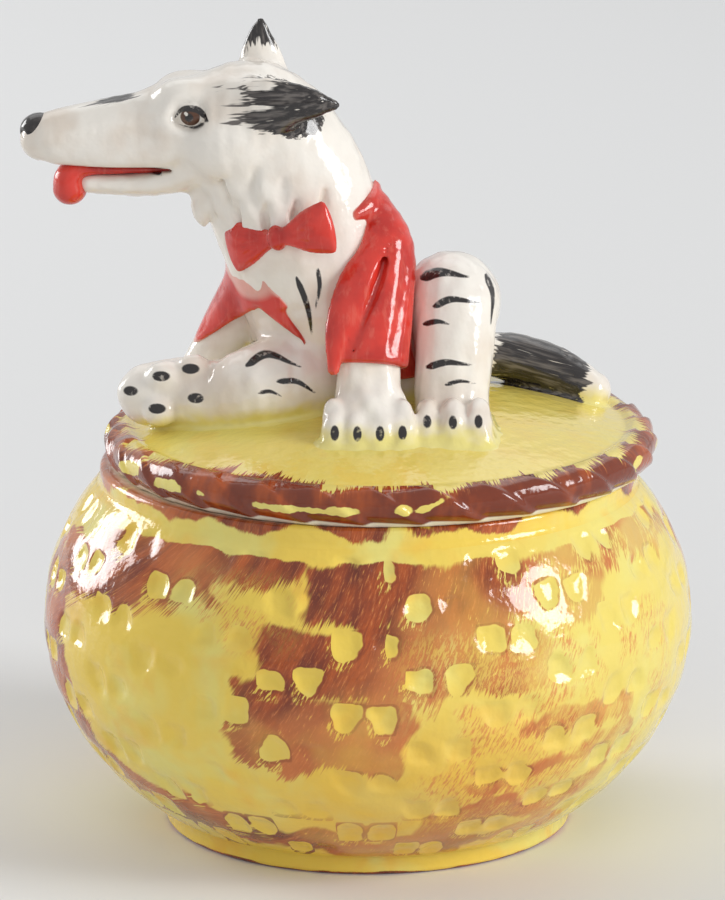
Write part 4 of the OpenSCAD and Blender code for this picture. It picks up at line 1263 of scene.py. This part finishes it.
# Outlines of the coat's open front, across the chest, and of what lies below its hem on the dog's right
OPENING = [(-24, 48), (-16.5, 32), (-8, 20.8), (-9, 19.6), (-5.6, 13.4), (-6, 0), (-2, 0), (-1, 15),
           (3, 29), (7, 48)]
OPENING_BEHIND = -2
BELOW_HEM = [(-60, -60), (-60, -12), (-38, 7.4), (-24, 19.6), (-15.4, 13.6), (-12, 0), (-12, -60)]
HEM_BEHIND = 12
COAT_FOLDS = [
    ([[1.8, -13.9, 34, 0.6, 0.6], [-0.6, -19.1, 26.5, 0.9, 0.9], [-4, -23, 18.5, 0.6, 0.6],
      [-5.6, -24.2, 14, 0.3, 0.3]], 0.8),
    ([[5.6, -15, 31, 0.4, 0.4], [4.4, -20.4, 22, 0.6, 0.6], [2.6, -24.4, 14, 0.3, 0.3]], 1.6)]


def make_coat(dog):
    """The red coat with its sleeves, open over the chest."""
    clay = Clay(*COAT_BLOCK, STEP)
    clay.add(Loft(BODY, FACING, COAT_T))
    x, y, z = clay.whole()
    cos, sin = math.cos(COAT_FACING), math.sin(COAT_FACING)
    across, inward = x * cos - y * sin, x * sin + y * cos
    gap = np.maximum(polygon_distance(across + 0 * z, z + 0 * across, OPENING), inward - OPENING_BEHIND)
    hem = np.maximum(polygon_distance(x + 0 * z, z + 0 * x, BELOW_HEM), y - HEM_BEHIND)
    clay.cut_field(gap, 0.4)
    clay.cut_field(z - COAT_HEM, 0.6)
    clay.cut_field(COAT_TOP - z, 0.6)
    clay.cut_field(hem, 0.4)
    end, before = np.array(LEFT_SLEEVE[-1][:3]), np.array(LEFT_SLEEVE[-2][:3])
    way = (end - before) / np.linalg.norm(end - before)
    past = dot((x - end[0], y - end[1], z - end[2]), way)
    for rows, ref, below in ((LEFT_SLEEVE, X, -past), (RIGHT_SLEEVE, Y, hem)):
        arm = Clay(*COAT_BLOCK, STEP)
        arm.add(Loft(rows, ref))
        arm.cut_field(below, 1.0)
        arm.cut_field(np.maximum(arm.field + COAT_T, below - CUFF_DEPTH), 0.6)
        clay.field = lower(clay.field, arm.field, 1.0)
    clay.add(Loft(LAPEL, X - 0.3 * Y), 0.3)
    clay.add(Loft(COLLAR, Z), 0.5)
    for fold, blend in COAT_FOLDS:
        clay.cut(Loft(fold, X), blend)
    points, faces = clay.surface()
    return red_piece("dog_coat", points, faces, ["coat", "left_sleeve", "right_sleeve"], dog)


# Bow tie about its knot: one wing, a fold of it for a lift of 1, and the lifts of its folds
BOW_BLOCK = ((-14, -6, -8), (14, 6, 8))
WING = [(0, 0, 0, 1.7, 1.6), (3, -0.3, 0, 2.2, 1.9), (7, -0.4, 0, 4.2, 2.1), (10.6, 0.5, 0, 5.2, 1.6),
        (11.4, 0.7, 0, 5.2, 1.0)]
WING_FOLD = [(2, -2.2, 0.5, 0.4, 0.4), (5.4, -2.5, 1.3, 0.7, 0.8), (9.4, -2.4, 2.6, 0.4, 0.5)]
WING_LIFTS = (-1.1, 0.1, 1.2)
KNOT = ((0, -0.5, 0), (1.7, 2.4, 2.6))
KNOT_FOLD = [(-3, -2.4, 0.2, 0.2), (-3.1, 0, 0.4, 0.4), (-3, 2.4, 0.2, 0.2)]
KNOT_FOLDS_AT = (-0.5, 0.6)
BOW_TILT = math.radians(-16)
BOW_FACING = math.radians(-30)
BOW_PLACE = (-20, -16.6, 35)


def make_bow_tie():
    """The bow tie: two flared wings with folds, and a knot."""
    clay = Clay(*BOW_BLOCK, FINE_STEP)
    for side in (-1, 1):
        clay.add(Loft([[x * side, *rest] for x, *rest in WING], Z), 0.5)
        for lift in WING_LIFTS:
            clay.cut(Loft([[x * side, y, z * lift, *half] for x, y, z, *half in WING_FOLD], Z), 0.7)
    clay.add(Ball(*KNOT), 0.3)
    for x in KNOT_FOLDS_AT:
        clay.cut(Loft([[x, *rest] for rest in KNOT_FOLD], X), 0.4)
    points, faces = clay.surface()
    a, b = BOW_TILT, BOW_FACING
    tilt = np.array([[math.cos(a), 0, math.sin(a)], [0, 1, 0], [-math.sin(a), 0, math.cos(a)]])
    face = np.array([[math.cos(b), -math.sin(b), 0], [math.sin(b), math.cos(b), 0], [0, 0, 1]])
    return red_piece("bow_tie_cloth", points @ tilt.T @ face.T + BOW_PLACE, faces, ["bow_tie"])


TONGUE_BLOCK = ((-69, -12, 36), (-38, 3, 50))
TONGUE = [[-41, -4, 46.6, 3.8, 1.2], [-51.5, -4, 46.6, 4.2, 1.4], [-58.4, -4.4, 46.6, 4.4, 2],
          [-61.2, -5, 44.8, 4.7, 3], [-61.2, -5.2, 42.6, 4.5, 3.5]]
TONGUE_CREASE = [[-55, -4, 48.6, 0.6, 0.6], [-60.5, -4.5, 48.2, 0.7, 0.7], [-64.6, -5, 44.6, 0.7, 0.7],
                 [-65, -5.2, 40, 0.3, 0.3]]


def make_tongue():
    """The tongue, with a crease along its middle."""
    clay = Clay(*TONGUE_BLOCK, TONGUE_STEP)
    clay.add(Loft(TONGUE, Y))
    clay.cut(Loft(TONGUE_CREASE, Y), 1.0)
    points, faces = clay.surface()
    return red_piece("tongue_skin", points, faces, ["tongue"])


NOSE_BLOCK = ((-73, -9, 49), (-62, 1, 59))
NOSE = ((-67, HEAD_Y, 53.8), (4.0, 4.0, 3.5))


def make_nose():
    """The nose, with two nostrils."""
    clay = Clay(*NOSE_BLOCK, FINE_STEP)
    clay.add(Ball(*NOSE))
    for side in (-1, 1):
        clay.cut(Ball(on_side(*NOSTRIL[0], side), NOSTRIL[1]), NOSTRIL[2])
    points, faces = clay.surface()
    return add_figure("nose_tip", points, faces, black_paint(), ["nose"], {})


# Stage in metres and watts; lamps as name, place, aim, size, power, and if the glaze mirrors them
TABLE_HALF = 8.0
PAPER = (0.78, 0.78, 0.775, 1)
PAPER_ROUGH = 0.7
ROOM = (0.315, 0.322, 0.333, 1)
WALL_TONE = (0.7, 0.7, 0.7, 1)
MIDDLE = (0, 0, 0.08)
LAMPS = [("softbox_left", (-1.5, 1.0, 0.6), MIDDLE, (0.8, 0.9), 17, True),
         ("softbox_right", (1.54, -0.6, 0.84), MIDDLE, (0.64, 0.84), 20, True),
         ("front_fill", (-0.2, -1.3, 0.9), MIDDLE, (1.2, 0.8), 5.2, False),
         ("overhead", (0, 1.05, 1.2), (0, 1.0, 0), (1.8, 1.2), 5.2, True)]
# The photograph's height takes in 180 mm at the jar's axis, seen from a little above
CAMERA_AIM = (-0.0011, 0, 0.0758)
CAMERA_DISTANCE = 1.2
CAMERA_ELEVATION = math.radians(14.5)
SEEN_HEIGHT = 0.180
SENSOR = 36


def add_object(name, data):
    """An object in the scene that is none of the jar's pieces."""
    obj = bpy.data.objects.new(name, data)
    bpy.context.scene.collection.objects.link(obj)
    return obj


def facing(place, aim):
    """The turn of a lamp or camera at a place that looks at an aim."""
    return (Vector(aim) - Vector(place)).to_track_quat("-Z", "Y").to_euler()


def make_table():
    """A wide pale table."""
    corners = [(x * TABLE_HALF, y * TABLE_HALF, 0) for x, y in ((-1, -1), (1, -1), (1, 1), (-1, 1))]
    mesh = bpy.data.meshes.new("table")
    mesh.from_pydata(corners, [], [(0, 1, 2, 3)])
    paper = bpy.data.materials.new("paper")
    paper.use_nodes = True
    tree = Nodes(paper.node_tree)
    tree.put(tree.nodes["Principled BSDF"], {"Base Color": PAPER, "Roughness": PAPER_ROUGH})
    mesh.materials.append(paper)
    table = add_object("table", mesh)


def make_lights():
    """Soft lamps, the room's soft light, and the pale wall that is seen past the table's end."""
    for name, place, aim, size, power, mirrored in LAMPS:
        light = bpy.data.lights.new(name, "AREA")
        light.shape = "RECTANGLE"
        light.size, light.size_y = size
        light.energy = power
        lamp = add_object(name, light)
        lamp.location = place
        lamp.rotation_euler = facing(place, aim)
        lamp.visible_glossy = mirrored
    world = bpy.data.worlds.new("room")
    world.use_nodes = True
    tree = Nodes(world.node_tree)
    rays = tree.nodes.new("ShaderNodeLightPath").outputs
    seen = rays["Is Camera Ray"]
    for kind in ("Is Glossy Ray", "Is Transmission Ray"):
        seen = tree.either(seen, rays[kind])
    tree.put(tree.nodes["Background"], {"Color": tree.mix(seen, ROOM, WALL_TONE)})
    bpy.context.scene.world = world


def make_camera():
    """The camera at the photographed angle."""
    camera = bpy.data.cameras.new("camera")
    camera.sensor_fit = "VERTICAL"
    camera.sensor_height = SENSOR
    camera.lens = SENSOR * CAMERA_DISTANCE / SEEN_HEIGHT
    back = Vector((0, -math.cos(CAMERA_ELEVATION), math.sin(CAMERA_ELEVATION)))
    eye = add_object("camera", camera)
    eye.location = Vector(CAMERA_AIM) + CAMERA_DISTANCE * back
    eye.rotation_euler = facing(eye.location, CAMERA_AIM)
    bpy.context.scene.camera = eye
    bpy.context.scene.view_settings.view_transform = "Standard"


make_bowl()
make_bowl_body()
make_lid()
dog = make_dog()
make_coat(dog)
make_bow_tie()
make_tongue()
make_nose()
make_table()
make_lights()
make_camera()
